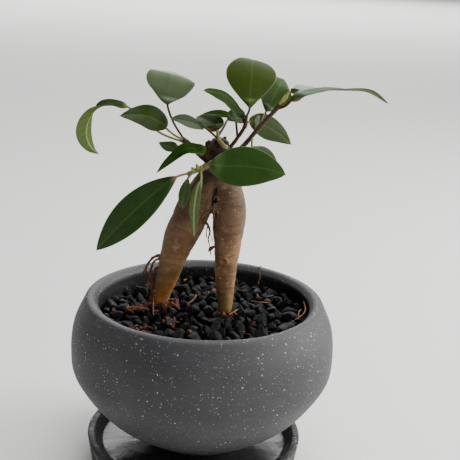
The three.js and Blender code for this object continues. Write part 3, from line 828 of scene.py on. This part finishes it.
def crumb_place(rng, draw):
    """A place in the heap that the draw picks, or anywhere on the bed."""
    for share, middle, spread in HEAPS:
        if draw < share:
            return rng.gauss(middle[0], spread[0]), rng.gauss(middle[1], spread[1])
    angle, reach = rng.uniform(0, math.tau), CRUMB_REACH * math.sqrt(rng.random())
    return POT_X + reach * math.cos(angle), reach * math.sin(angle)


def stone_spots(rng, mean, spacing, sink, tries):
    """Stones laid in a disc, none too near another, the wall or a leg."""
    spots = []
    for _ in range(tries):
        angle, part = rng.uniform(0, math.tau), math.sqrt(rng.random())
        size = mean * rng.choice((0.62, 0.78, 0.9, 1.0, 1.12, 1.3))
        reach = (MOUTH - size * 0.42) * part
        x, y = POT_X + reach * math.cos(angle), reach * math.sin(angle)
        if in_a_leg(x, y, size * 0.36):
            continue
        near = spacing * 0.5
        if any(math.hypot(x - s[0], y - s[1]) < near * (size + s[3]) for s in spots):
            continue
        spots.append((x, y, bed_height(x, y) - sink - size * 0.28 + rng.uniform(-0.7, 0.9), size))
    return spots


class BONSAI_OT_gravel(bpy.types.Operator):
    """Adds the loose stones, the bark crumbs and the dry root threads"""
    bl_idname = "bonsai.gravel"
    bl_label = "Gravel"

    def execute(self, context):
        sizes, colours = settings(context)
        rng = random.Random(GRAVEL_SEED)
        mean = sizes.stone_size / MM
        soft = [cut_stone(rng, 10, True) for _ in range(STONE_KINDS)]
        hard = [cut_stone(rng, 6, False) for _ in range(STONE_KINDS)]

        bm = bmesh.new()
        top = stone_spots(rng, mean, 0.86, 0.0, TOP_TRIES)
        spots = [(rng.randrange(STONE_KINDS), s[:3], random_turn(rng),
                  (s[3], s[3] * rng.uniform(0.85, 1.1), s[3] * rng.uniform(0.75, 1.0))) for s in top]
        scatter(bm, soft, spots)
        stones = stone("black lava stone", colours.lava, colours.lava_dust)
        piece("gravel_stones", bm, stones, ["top_gravel"], flat=True)

        bm = bmesh.new()
        deep = stone_spots(rng, mean * 0.95, 0.84, 3.6, DEEP_TRIES)
        spots = [(rng.randrange(STONE_KINDS), s[:3], random_turn(rng), (s[3],) * 3) for s in deep]
        scatter(bm, hard, spots)
        piece("gravel_underlayer", bm, stones, flat=True)

        bm = bmesh.new()
        spots = []
        for _ in range(sizes.crumb_count):
            heap = rng.random()
            x, y = crumb_place(rng, heap)
            if math.hypot(x - POT_X, y) > CRUMB_REACH + 0.5 or in_a_leg(x, y):
                continue
            size = rng.choice((0.9, 1.3, 1.8, 2.6, 3.4)) * (1 if heap < 0.5 else 0.72)
            z = bed_height(x, y) + rng.uniform(0.2, 1.5)
            spots.append((rng.randrange(STONE_KINDS), (x, y, z), random_turn(rng),
                          (size, size * rng.uniform(0.4, 0.8), size * rng.uniform(0.25, 0.5))))
        scatter(bm, hard, spots)
        dry = crumbs("dry bark crumb", colours.crumb, (0.05, 0.014, 0.007))
        piece("bark_crumbs", bm, dry, flat=True)

        bm = start()
        for number, thread in enumerate(THREADS):
            add_tube(bm, [(*point, radius) for *point, radius in thread], sides=6, step=0.6, seed=number)
        roughen(bm, 1.2, 0.12)
        straw = crumbs("dry root thread", (0.3, 0.15, 0.07), (0.12, 0.05, 0.022))
        piece("dry_root_threads", bm, straw)

        hidden = {
            "potting_soil": plain_grain("potting soil", (0.02, 0.012, 0.008), 0.85, 260.0, 0.0006),
            "drain_mesh": plain_grain("moulded mesh", (0.03, 0.035, 0.035), 0.55, 400.0, 0.0001),
        }
        for name, finish in hidden.items():
            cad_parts[name].data.materials.clear()
            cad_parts[name].data.materials.append(finish)
        return {"FINISHED"}


# ---- Trunk and roots ---------------------------------------------------------------------

LEFT_LEG = [
    (-20.5, 6, 47, 2.4), (-18.4, 4, 71, 3.8), (-15.3, 3, 82, 4.8), (-12.8, 2.5, 92, 6),
    (-10, 2, 101.5, 7.2), (-6.3, 1, 111, 7.8), (-2.6, 0.5, 119.5, 7.7), (3, 0, 128.5, 7.2),
    (6, 0, 136, 6),
]
RIGHT_LEG = [
    (14.5, -4.5, 47, 1.8), (12.2, -2.5, 70.5, 3), (11.9, -2, 80, 4), (11.6, -2, 90, 5.1),
    (11.8, -2, 101, 6), (12.1, -1.5, 110, 7.1), (12, -1, 117, 7.4), (10.6, -0.5, 126, 6.8),
    (7.5, 0, 136, 5.6),
]
NECK = [
    (5.8, 0, 121, 3.6), (6, 0, 124.5, 6.2), (7.4, 0, 129.5, 7.6), (7, 0, 134, 6.8),
    (6.2, 0, 140, 5.7), (5.8, 0, 143.5, 5.3), (5.8, 0, 146, 5), (5.8, 0, 147.4, 3.8),
]
# Splinters and stubs round the cut top.
STUBS = [
    [(2.6, -2, 144, 2.2), (2, -2.8, 146.8, 2), (1.8, -3, 148, 1.3)],
    [(8.4, -2.2, 144.5, 2.2), (8.8, -2.8, 147, 1.8), (9.2, -3, 148, 1.1)],
    [(7.4, 2, 145, 2.2), (8.4, 2.4, 147.6, 1.7), (8.6, 2.6, 148.8, 1)],
    [(1.4, -3.4, 141, 2.2), (-0.8, -4.4, 142.5, 1.6), (-2.2, -4.8, 144.2, 0.8)],
    [(8.8, -4, 138.5, 2.2), (11, -5.4, 139, 1.6), (12, -6, 140, 0.9)],
    [(2.6, -5.4, 137.5, 2.2), (1, -7, 138, 1.6), (0.2, -7.6, 139, 0.8)],
]
KNOT = Vector((10.6, -7.0, 95.5))
SCAR = Vector((4.2, -6.5, 115.5))
SCAR_REACH = 5.5
GNARL_FROM = 138                # the height at which the cut top starts to be gnarled
CROTCH = (116, 140)             # heights in the finished tree that are smoothed once more
SMOOTHING = 3
# The crease where the right leg leaves the left one, cut in and darkened with painted shade.
SEAM_X = 4.0
SEAM_SLANT = 0.08
SEAM_LOW, SEAM_HIGH = 107.0, 130.0


def smooth(bm, verts):
    for _ in range(SMOOTHING):
        bmesh.ops.smooth_vert(bm, verts=verts, factor=0.5, use_axis_x=True, use_axis_y=True,
                              use_axis_z=True)


def trunk_shape(spacing):
    """The legs and neck fused into one skin."""
    bm = bmesh.new()
    bm.verts.layers.float.new("along")
    for stations in (LEFT_LEG, RIGHT_LEG, NECK):
        add_tube(bm, stations, sides=40, step=1.0)
    for stations in STUBS:
        add_tube(bm, stations, sides=9, step=0.8)
    bmesh.ops.recalc_face_normals(bm, faces=bm.faces)
    mesh = bpy.data.meshes.new("fused")
    bm.to_mesh(mesh)
    bm.free()
    fused = bpy.data.objects.new("fused", mesh)
    bpy.context.scene.collection.objects.link(fused)
    remesh = fused.modifiers.new("skin", "REMESH")
    remesh.mode = "VOXEL"
    remesh.voxel_size = spacing
    skin = fused.evaluated_get(bpy.context.evaluated_depsgraph_get()).to_mesh()
    bm = bmesh.new()
    bm.from_mesh(skin)
    bpy.data.objects.remove(fused)
    return bm


class BONSAI_OT_trunk(bpy.types.Operator):
    """Adds the two root legs, the neck and the cut top"""
    bl_idname = "bonsai.trunk"
    bl_label = "Trunk"

    def execute(self, context):
        sizes, colours = settings(context)
        bm = trunk_shape(sizes.bark_detail)
        smooth(bm, bm.verts)
        smooth(bm, [v for v in bm.verts if CROTCH[0] < v.co.z / MM < CROTCH[1]])

        axis = []
        for stations in (LEFT_LEG, RIGHT_LEG, NECK):
            curve = spline(stations, 8)
            axis += list(zip(curve, lengths(curve)))
        tree = kdtree.KDTree(len(axis))
        for i, (point, _) in enumerate(axis):
            tree.insert(point.to_3d(), i)
        tree.balance()

        along = bm.verts.layers.float.new("along")
        crease = bm.verts.layers.float.new("crease")
        bm.normal_update()
        shifts = []
        for vert in bm.verts:
            place = vert.co / MM - TREE_LIFT
            _, i, _ = tree.find(place)
            vert[along] = axis[i][1] + (place - axis[i][0].to_3d()).z * 0.5
            level = vert[along]
            lumps = noise.noise(place / 8.5) * 0.42 + noise.noise(place / 3.4) * 0.16
            band = noise.noise(Vector((place.x / 7, place.y / 7, level / 1.15)))
            wide = noise.noise(Vector((place.x / 9, place.y / 9, level / 3.6)))
            depth = lumps + band * 0.11 + wide * 0.14
            gnarl = min(max((place.z - GNARL_FROM) / 5, 0), 1)
            if gnarl:
                ridge = abs(noise.noise(place / 2.1)) * 1.2 + noise.noise(place / 1.0) * 0.35
                depth += gnarl * (ridge - 0.35)
            scar = max(1 - (place - SCAR).length / SCAR_REACH, 0)
            depth += scar * noise.noise(place / 1.1) * 0.9
            knot = (place - KNOT).length
            beside = place.x - SEAM_X - (place.z - SEAM_LOW) * SEAM_SLANT
            below, above = (SEAM_HIGH - place.z) / 3, (place.z - SEAM_LOW) / 3
            within = min(max(below, 0), 1) * min(max(above, 0), 1)
            # The crease mask cuts the groove, and the bark darkens it with painted shade.
            vert[crease] = within * abs(vert.normal.y) * math.exp(-((beside / 0.65) ** 2))
            depth -= 1.9 * vert[crease]
            depth += 0.55 * math.exp(-((knot - 1.6) / 0.6) ** 2) - 0.5 * math.exp(-(knot / 0.9) ** 2)
            shifts.append((vert, vert.normal * depth * MM))
        for vert, shift in shifts:
            vert.co += shift
        piece("trunk_bark", bm, bark(colours), ["trunk"])
        return {"FINISHED"}


ROOTS = {
    "aerial_root_curly": [
        [(-15, 2.5, 94.5, 0.8), (-18.4, 2, 94, 0.7), (-21.1, 2, 92.9, 0.62), (-23.3, 1.5, 90.5, 0.55),
         (-24.6, 1, 87.5, 0.5), (-23.6, 0.5, 83.7, 0.42), (-22.8, 0, 80, 0.35), (-21.6, 0, 76.5, 0.25)],
        [(-15.6, 2.3, 93.8, 0.7), (-18.8, 0.9, 92.6, 0.55), (-21, 0.6, 91.2, 0.5), (-21.9, 0.3, 88.6, 0.5),
         (-22.6, 0.2, 85.6, 0.45), (-21.9, 0, 82.5, 0.4), (-21.9, 0, 78, 0.3)],
        [(-24.6, 1, 87.5, 0.4), (-25.6, 0.6, 86, 0.3), (-25.4, 0.4, 84.4, 0.15)],
    ],
    "aerial_root_thin": [
        [(-16, 2.5, 89, 0.6), (-20.3, 3, 87, 0.55), (-21, 3, 79.5, 0.5), (-22.4, 2.5, 73, 0.5),
         (-22.8, 2, 64, 0.4)],
        [(-20.8, 3, 81, 0.3), (-20.2, 1, 77, 0.3), (-19.9, -0.8, 73.6, 0.3), (-20.4, -1.6, 70.6, 0.25)],
    ],
    "rootlet_crotch": [
        [(-1.5, 0, 113, 0.6), (2.3, -1, 110.7, 0.55), (3.8, -1, 107, 0.4), (3.2, -1, 103.4, 0.3),
         (4.0, -1.4, 100.4, 0.22), (3.7, -1.6, 97.6, 0.12)],
        [(3.7, -1, 106, 0.25), (4.8, -1.6, 104.4, 0.2), (5, -2, 102.8, 0.12)],
        [(2.8, -1, 109.5, 0.3), (2.2, -1.6, 106.6, 0.2), (2.6, -2, 104.2, 0.12)],
    ],
    "rootlet_stub": [
        [(9, -3, 101.5, 0.8), (5.8, -4.5, 101.2, 0.6), (4.3, -4.8, 100, 0.75), (3.6, -4.9, 99.3, 0.3)],
        [(4.8, -4.7, 100.6, 0.3), (4.5, -5, 98.4, 0.2), (4.9, -5, 97, 0.1)],
    ],
}


HAIR_SEED = 5


def add_hair(bm, rng, place, radii, x_step, y_step, z_step, number):
    """A hair root of four random steps, given as mean and spread in x and z and as a range in y."""
    x, y, z = place
    stations = [(x, y, z, radii[0])]
    for _ in range(4):
        x, y, z = x + rng.gauss(*x_step), y + rng.uniform(*y_step), z + rng.gauss(*z_step)
        stations.append((x, y, z, radii[1]))
    add_tube(bm, stations, sides=5, step=0.5, seed=number)


class BONSAI_OT_roots(bpy.types.Operator):
    """Adds the aerial roots and the hair roots"""
    bl_idname = "bonsai.roots"
    bl_label = "Aerial roots"

    def execute(self, context):
        colours = settings(context)[1]
        finish = stem("dry rootlet", colours.rootlet, (0.06, 0.026, 0.014))
        for name, strands in ROOTS.items():
            bm = start()
            for number, stations in enumerate(strands):
                add_tube(bm, stations, sides=9, step=0.4, rings=0.35, ring_gap=1.6, seed=number + 0.37)
            roughen(bm, 0.9, 0.14)
            piece(name + "_fibres", bm, finish, [name])

        rng = random.Random(HAIR_SEED)
        bm = start()
        for number in range(26):
            x, z = rng.uniform(2.6, 8), rng.gauss(119.5, 2.0)
            y = -5.4 - 0.45 * abs(x - 4.5) + rng.uniform(-0.3, 0.3)
            add_hair(bm, rng, (x, y, z), (0.09, 0.08), (0, 0.9), (-0.5, 0.35), (-0.4, 0.8), number)
        for number in range(16):
            z = rng.uniform(74, 88)
            x, y = -18.6 + (z - 71) * 0.28 + rng.gauss(0, 2.2), -1.6 + rng.gauss(0, 0.5)
            add_hair(bm, rng, (x, y, z), (0.12, 0.1), (-0.4, 0.8), (-0.4, 0.2), (-0.6, 0.7), number)
        hair = crumbs("pale hair root", (0.4, 0.27, 0.18), (0.2, 0.11, 0.06))
        piece("hair_roots", bm, hair)
        return {"FINISHED"}


# ---- Shoots and buds ---------------------------------------------------------------------

SHOOTS = {
    "shoot_left": ("young", [
        (2, -2, 139, 1.3), (-0.5, -5, 141.5, 1.3), (-4, -5, 144.5, 1.2), (-8, -4, 147.5, 1.5),
        (-10, -3, 149, 1.0)]),
    "shoot_middle": ("green", [
        (9.5, -3, 146, 1.1), (8, -7, 147.5, 1), (6, -7.5, 150.5, 0.8), (5.5, -6.5, 153.5, 0.7)]),
    "shoot_top": ("young", [
        (8.5, 0, 142, 1.1), (10.5, 0, 144.5, 0.95), (14, 0, 149.5, 0.8), (17, 0, 155, 0.8),
        (17.5, 0, 159.5, 0.65)]),
    "shoot_right": ("young", [
        (9, -2, 139, 1.3), (14.5, -3, 144.4, 1.05), (18, -4, 148.5, 1), (22.5, -4, 154.5, 1),
        (26.5, -3.5, 159.3, 0.95), (30.5, -3, 164, 0.95), (32.3, -2.5, 166.6, 0.85)]),
    "shoot_front": ("green", [
        (8.5, -2, 140.5, 1.1), (7, -8, 142, 1.1), (3.5, -10, 140, 1.1), (0, -10.5, 138, 1.2),
        (-3.5, -11, 136.5, 1.1), (-6.5, -11, 135, 0.8)]),
}
BUDS = {
    "bud_tip": [
        [(32, -2.5, 166.2, 0.8), (33.5, -2.5, 168.4, 0.9), (34.4, -2.5, 170, 0.6), (35.2, -2.5, 171.6, 0.2)],
        [(31.2, -3.2, 165.4, 0.6), (32.4, -3.5, 167.8, 0.6), (33.2, -3.5, 169.2, 0.2)],
        [(31.4, -1.8, 165.8, 0.6), (33.4, -1.6, 167.4, 0.55), (34.6, -1.6, 168.6, 0.2)],
    ],
    "bud_front": [
        [(-1.8, -10.8, 137.4, 0.8), (-2.4, -11.8, 138.6, 0.85), (-2.8, -12.1, 139.8, 0.3)],
        [(-3.6, -11.4, 136.6, 0.7), (-4.3, -12, 137.5, 0.7), (-4.7, -12.2, 138.4, 0.3)],
        [(-0.4, -11, 137.6, 0.5), (-0.8, -11.7, 138.6, 0.5), (-0.8, -11.8, 139.3, 0.2)],
    ],
}


class BONSAI_OT_shoots(bpy.types.Operator):
    """Adds the shoots and their buds"""
    bl_idname = "bonsai.shoots"
    bl_label = "Shoots and buds"

    def execute(self, context):
        colours = settings(context)[1]
        finishes = {
            "young": ("young_bark", stem("young bark", colours.young_bark, (0.05, 0.024, 0.016))),
            "green": ("green_stem", stem("green stem", colours.green_stem, (0.16, 0.13, 0.05))),
        }
        for number, (name, (kind, stations)) in enumerate(SHOOTS.items()):
            bm = start()
            add_tube(bm, stations, sides=14, step=0.4, rings=0.35, ring_gap=2.6, seed=number + 0.61)
            roughen(bm, 1.4, 0.16)
            slot, finish = finishes[kind]
            piece(name + "_bark", bm, finish, [name])
        finish = stem("bud scale", colours.bud, (0.25, 0.2, 0.05), 1.6)
        for name, scales in BUDS.items():
            bm = start()
            for number, stations in enumerate(scales):
                add_tube(bm, stations, sides=12, step=0.35, seed=number * 1.3)
            roughen(bm, 1.1, 0.1)
            piece(name + "_scales", bm, finish, [name])
        return {"FINISHED"}


# ---- Leaves ------------------------------------------------------------------------------

# petiole runs from the shoot to the blade and blade from there to the tip. across gives the
# direction over the blade at its base and its tip, or once for both. width is the largest
# half width, widest how far along that lies, and fold how much the margins rise over the
# midrib. olive goes from deep green, 0, to olive, 1, painted_sheen mixes in a painted sheen,
# the pale grey-green of the bright sky mirrored on the blade, sheen sets the gloss, full the
# roundness of the outline and stalk the stalk's colour. light scales the blade's colour as
# painted light or shade for each leaf, and turned swaps its two sides.
LEAVES = {
    "leaf_far_left": dict(
        petiole=[(-7.5, -3.2, 146.8), (-19.5, 1, 150), (-28.5, 1.5, 156.8)],
        blade=[(-33.5, 1, 160.5), (-40, 1, 161.5), (-46.5, 0, 159.8), (-50.3, -1, 154.5),
               (-51.2, -2, 148), (-49, -3, 143), (-45.5, -4, 140.5)],
        across=[(0, -1, -0.25), (-0.62, -0.78, 0)], width=6.5, widest=0.5, fold=0.2, light=0.5, painted_sheen=0.45,
        stalk="green", sheen=0.0),
    "leaf_left_flat": dict(
        petiole=[(-9.3, -4.2, 148.4), (-13.5, -5, 150.8)],
        blade=[(-16.5, -5.5, 153.3), (-19, -7, 155.9), (-24.5, -9, 158.6), (-30, -10, 159.1),
               (-35.5, -11, 158.6)],
        across=[(-0.6, -0.5, -0.6), (-0.3, -0.6, -0.6)], width=5.4, widest=0.4, light=0.6, olive=0.6,
        stalk="green", sheen=0.15),
    "leaf_left_upright": dict(
        petiole=[(-9.5, -2, 149), (-14, 3, 154.5)],
        blade=[(-17, 6, 161.5), (-16.5, 8, 168), (-16, 12, 173.6), (-15.5, 17, 174.4)],
        across=[(1, 0, -0.3), (1, 0, -0.2)], width=10.8, widest=0.62, full=0.56,
        light=0.88, painted_sheen=1.0, sheen=0.1),
    "leaf_left_small": dict(
        petiole=[(-6.5, -4.3, 146.3)],
        blade=[(-11.5, 0.5, 144), (-16, 3, 143.8), (-20.5, 6, 144.8)],
        across=[(0, -0.6, -0.8)], width=2.5, widest=0.35, fold=0.2, painted_sheen=0.3),
    "leaf_middle_pale": dict(
        petiole=[(6, -7.5, 150), (1.8, -10, 154)],
        blade=[(0, -12, 155.6), (-6, -15, 157.8), (-13.5, -17, 159.5)],
        across=[(0, -0.95, -0.25)], width=6, widest=0.5, fold=0.1, painted_sheen=0.6, light=0.36, sheen=0.01),
    "leaf_middle_dark": dict(
        petiole=[(5.6, -6.6, 152.5)],
        blade=[(5, -6, 153.8), (2.8, -3, 155.9), (-0.5, 0, 157.1), (-4, 3, 157.5)],
        across=[(-0.3, -0.9, -0.4), (0, -0.9, -0.3)], width=6, widest=0.4, fold=0.1, light=0.7, sheen=0.02),
    "leaf_back_middle": dict(
        petiole=[(14, 0, 149.5), (13.4, 8, 153)],
        blade=[(12.5, 12, 155.6), (7.5, 14, 156.8), (2, 15, 156.5), (-4, 15.5, 155.4)],
        across=[(0, -0.95, -0.1), (0, -0.95, -0.15)], width=6, widest=0.5, fold=0.1, olive=0.4,
        light=0.5, sheen=0.0),
    "leaf_back_small": dict(
        petiole=[(5.9, -7.3, 151.5), (7.9, -5.5, 154.8)],
        blade=[(9.6, 1, 157.2), (13, 5, 158), (17.5, 9, 157.2)],
        across=[(0, 0.8, 0.6)], width=4, widest=0.5, fold=0.1, light=1.3),
    "leaf_curved": dict(
        petiole=[(17, 0, 155)],
        blade=[(16, 1, 158), (13, 1, 163), (8.5, 0, 167.2), (3, -3, 169.3), (-1, -6, 170.2)],
        across=[(0.25, 0.95, 0.1), (0.15, 0.95, 0.2)], width=6, widest=0.45, fold=0.15,
        painted_sheen=0.3, light=0.5, sheen=0.0),
    "leaf_top": dict(
        petiole=[(17.5, 0, 159)],
        blade=[(18.6, 1, 162), (18.7, 3, 168), (18.8, 6, 176), (19.2, 11, 182), (19.2, 14, 181.5)],
        across=[(1, 0, 0), (1, 0, -0.2)], width=11, widest=0.6, olive=1.0),
    "leaf_top_back": dict(
        petiole=[(24, -3.8, 156.5), (25.5, 4, 159.5)],
        blade=[(26, 7, 160.5), (28.8, 10, 166), (31.5, 13, 171.5), (33.5, 17, 173.5)],
        across=[(0.9, 0.2, -0.4)], width=8.5, widest=0.55, olive=0.2),
    "leaf_long_right": dict(
        petiole=[(30, -3, 163.3), (33.5, -4, 165)],
        blade=[(35.5, -4, 167), (40.5, -5, 170.3), (48.5, -6, 172.6), (57.5, -8, 173.4),
               (68, -10, 173.2), (75.5, -12, 169.2)],
        across=[(0, 1, 0.16), (0, 1, -0.35)], width=8, widest=0.5, fold=0.03, painted_sheen=0.8, olive=0.5,
        light=0.85, sheen=0.01),
    "leaf_right_back": dict(
        petiole=[(30.8, -3, 164.4), (33, 1.5, 167.5)],
        blade=[(36, 4, 169.8), (40, 6, 171.2), (45.5, 9, 171), (52, 12, 170.4)],
        across=[(0, 1, 0.1), (0, 1, 0)], width=6, widest=0.5, light=1.4),
    "leaf_right_low": dict(
        petiole=[(17, 0, 154.5)],
        blade=[(19, 4, 156.3), (25, 7, 154.6), (32, 9, 150.8), (38, 10, 146)],
        across=[(-0.3, -0.5, -0.8)], width=5.6, widest=0.4, light=0.65, olive=0.7,
        stalk="green"),
    "leaf_front": dict(
        petiole=[(5, -9, 141.3)],
        blade=[(4, -14, 140), (8, -17, 140.5), (17.5, -22, 142), (27, -26, 142), (34, -27, 140.5)],
        across=[(-0.2, -0.3, -0.9)], width=8.5, widest=0.43, full=0.68, light=1.25),
    "leaf_front_small": dict(
        petiole=[(20.5, -4, 151.5)],
        blade=[(20.5, -8, 147.5), (23, -9, 145.5), (27.5, -10, 144), (31, -11, 142.5)],
        across=[(0, 0.7, 0.7)], width=4, widest=0.4, stalk="green"),
    "leaf_left_arching": dict(
        petiole=[(1.5, -4, 140), (1, -8, 142)],
        blade=[(0.5, -9, 144.5), (-3, -11, 146), (-7.5, -13, 146), (-11.5, -15, 143.6),
               (-15.5, -16, 140), (-19, -17, 136.5)],
        across=[(0, -0.95, -0.22), (0.2, -0.95, -0.2)], width=6, widest=0.4, light=0.85, sheen=0.0),
    "leaf_low_left": dict(
        petiole=[(-5.5, -11, 135.5)],
        blade=[(-10.5, -13, 134.3), (-17.5, -15, 129.3), (-26.2, -17, 121.5), (-35.5, -17, 111.5),
               (-44.5, -15, 100.5)],
        across=[(0.5, -0.3, -0.8), (0.7, -0.3, -0.7)], width=7.2, widest=0.5, light=0.8,
        stalk="tan"),
    "leaf_hanging_dark": dict(
        petiole=[(-4, -11, 136)],
        blade=[(-6, -13, 133.8), (-6.8, -14, 129), (-7.6, -15, 124.5), (-8, -15, 120.5)],
        across=[(1, -0.5, 0)], width=2.8, widest=0.5, fold=0.2, olive=0.3, painted_sheen=0.3,
        stalk="green"),
    "leaf_hanging_pale": dict(
        petiole=[(-1, -10.7, 137.5)],
        blade=[(-0.5, -14, 133.5), (-2, -15, 128.5), (-2.8, -15, 120.5), (-2.5, -14, 108.5)],
        across=[(1, -0.5, 0)], width=2.5, widest=0.4, fold=0.2, turned=True,
        stalk="green"),
}

PETIOLE_ROWS = 14
BLADE_ROWS = 46
LEAF_SIDES = 28
PETIOLE_RADIUS = 0.5
LIGHT_FROM = Vector((0, -0.5, 0.85))       # a leaf turns its upper side this way
BLADE_FULLNESS = 0.8
BLADE_FOLD = 0.05
BLADE_WAVE = 0.35


def mix(first, second, part):
    return tuple(a + (b - a) * part for a, b in zip(first, second))


def add_leaf(bm, leaf, thickness, seed):
    """One closed skin from the round petiole to the tip of the blade."""
    layers = {name: bm.verts.layers.float[name] for name in ("along", "rib", "margin", "under", "stalk")}
    stations = leaf["petiole"] + leaf["blade"]
    steps = 20
    curve = spline(stations, steps)
    run = lengths(curve)
    blade_start = run[len(leaf["petiole"]) * steps]
    blade_length = run[-1] - blade_start
    rows = [(blade_start * i / PETIOLE_ROWS, 0.0) for i in range(PETIOLE_ROWS)]
    for i in range(BLADE_ROWS + 1):
        part = i / BLADE_ROWS
        part = part * 0.35 + (0.5 - 0.5 * math.cos(math.pi * part)) * 0.65
        rows.append((blade_start + blade_length * part, part))
    places = walk(curve, run, [distance for distance, _ in rows])
    ahead = directions(places)
    base_side, tip_side = Vector(leaf["across"][0]), Vector(leaf["across"][-1])
    middle = len(rows) // 2
    upward = ahead[middle].cross(base_side.lerp(tip_side, 0.5)).dot(LIGHT_FROM) > 0
    if leaf.get("turned"):
        upward = not upward
    skew = math.log(0.5) / math.log(leaf["widest"])
    fold = leaf.get("fold", BLADE_FOLD)
    ring = bmesh.ops.create_circle(bm, segments=LEAF_SIDES, radius=1.0)["verts"]
    angles = [math.tau * i / LEAF_SIDES for i in range(LEAF_SIDES)]
    for number, ((distance, part), place, tangent) in enumerate(zip(rows, places, ahead)):
        if number:
            ring = next_ring(bm, ring)
        side = base_side.lerp(tip_side, part)
        side = (side - tangent * side.dot(tangent)).normalized()
        up = tangent.cross(side)
        opened = min(part * 5, 1)
        opened = opened * opened * (3 - 2 * opened)
        swell = 0
        if 0 < part < 1:
            swell = math.sin(math.pi * part ** skew) ** leaf.get("full", BLADE_FULLNESS)
        half = max(leaf["width"] * swell, PETIOLE_RADIUS * (1 - part * 0.8))
        for vert, angle in zip(ring, angles):
            s, h = math.cos(angle), math.sin(angle)
            offset = half * s
            rib = math.exp(-((offset / 0.55) ** 2))
            upper = (h >= 0) == upward
            thick = math.copysign(abs(h) ** 0.5, h) * thickness / 2
            if abs(h) > 0.01:
                dent = -0.14 if upper else 0.3 * (1 - part * 0.7)
                thick += math.copysign(dent, h * dent) * rib
            sway = noise.noise(Vector((s * 0.9, part * 3.1, seed))) * BLADE_WAVE
            bow = fold * abs(s) * half + sway * abs(s) ** 1.5 * min(half / 4, 1)
            rise = (1 - opened) * half * h + opened * (bow + thick)
            vert.co = (place.to_3d() + TREE_LIFT + side * offset + up * rise) * MM
            vert[layers["along"]] = distance - blade_start
            vert[layers["rib"]] = offset
            vert[layers["margin"]] = abs(s) * opened
            vert[layers["under"]] = float(not upper) if abs(h) > 0.01 else 0.5
            vert[layers["stalk"]] = 1 - min(part * 14, 1)
        if number == 0:
            close_ring(bm, ring)
    tip = (places[-1].to_3d() + TREE_LIFT + ahead[-1] * 0.5) * MM
    bmesh.ops.pointmerge(bm, verts=ring, merge_co=tip)


class BONSAI_OT_leaves(bpy.types.Operator):
    """Adds the leaves on their stalks"""
    bl_idname = "bonsai.leaves"
    bl_label = "Leaves"

    def execute(self, context):
        sizes, colours = settings(context)
        stalks = {"brown": colours.young_bark, "green": colours.green_stem, "tan": (0.3, 0.2, 0.12)}
        for number, (name, leaf) in enumerate(LEAVES.items()):
            bm = start()
            add_leaf(bm, leaf, sizes.leaf_thickness / MM, number * 1.7)
            upper = mix(colours.leaf, colours.leaf_olive, leaf.get("olive", 0.0))
            # Painted sheen: the pale grey-green of the bright sky mirrored on the blade, mixed into the
            # upper colour.
            upper = mix(upper, colours.leaf_painted_sheen, leaf.get("painted_sheen", 0.0))
            # Painted light or shade: each leaf's light factor scales its upper colour lighter or darker.
            finish = leaf_skin(
                name.replace("_", " ") + " skin", rgba(upper, leaf.get("light", 1.0)),
                rgba(colours.leaf_under), rgba(stalks[leaf.get("stalk", "brown")]), leaf.get("sheen", 0.2))
            piece(name + "_blade", bm, finish, [name])
        return {"FINISHED"}


# ---- Add-on ------------------------------------------------------------------------------

OPERATORS = (
    BONSAI_OT_stage,
    BONSAI_OT_saucer,
    BONSAI_OT_pot,
    BONSAI_OT_gravel,
    BONSAI_OT_trunk,
    BONSAI_OT_roots,
    BONSAI_OT_shoots,
    BONSAI_OT_leaves,
)


class BONSAI_PT_panel(bpy.types.Panel):
    """The bonsai's pieces and settings"""
    bl_idname = "BONSAI_PT_panel"
    bl_label = "Potted bonsai"
    bl_space_type = "VIEW_3D"
    bl_region_type = "UI"
    bl_category = "Bonsai"

    def draw(self, context):
        for group in settings(context):
            box = self.layout.box()
            for name in group.__annotations__:
                box.prop(group, name)
        column = self.layout.column(align=True)
        for operator in OPERATORS:
            column.operator(operator.bl_idname)


CLASSES = (BonsaiSizes, BonsaiColours, *OPERATORS, BONSAI_PT_panel)


def register():
    for cls in CLASSES:
        bpy.utils.register_class(cls)
    bpy.types.Scene.bonsai_sizes = PointerProperty(type=BonsaiSizes)
    bpy.types.Scene.bonsai_colours = PointerProperty(type=BonsaiColours)


def unregister():
    del bpy.types.Scene.bonsai_colours
    del bpy.types.Scene.bonsai_sizes
    for cls in reversed(CLASSES):
        bpy.utils.unregister_class(cls)


def main():
    register()
    bpy.ops.bonsai.stage()
    bpy.ops.bonsai.saucer()
    bpy.ops.bonsai.pot()
    bpy.ops.bonsai.gravel()
    bpy.ops.bonsai.trunk()
    bpy.ops.bonsai.roots()
    bpy.ops.bonsai.shoots()
    bpy.ops.bonsai.leaves()


if __name__ == "__main__":
    main()
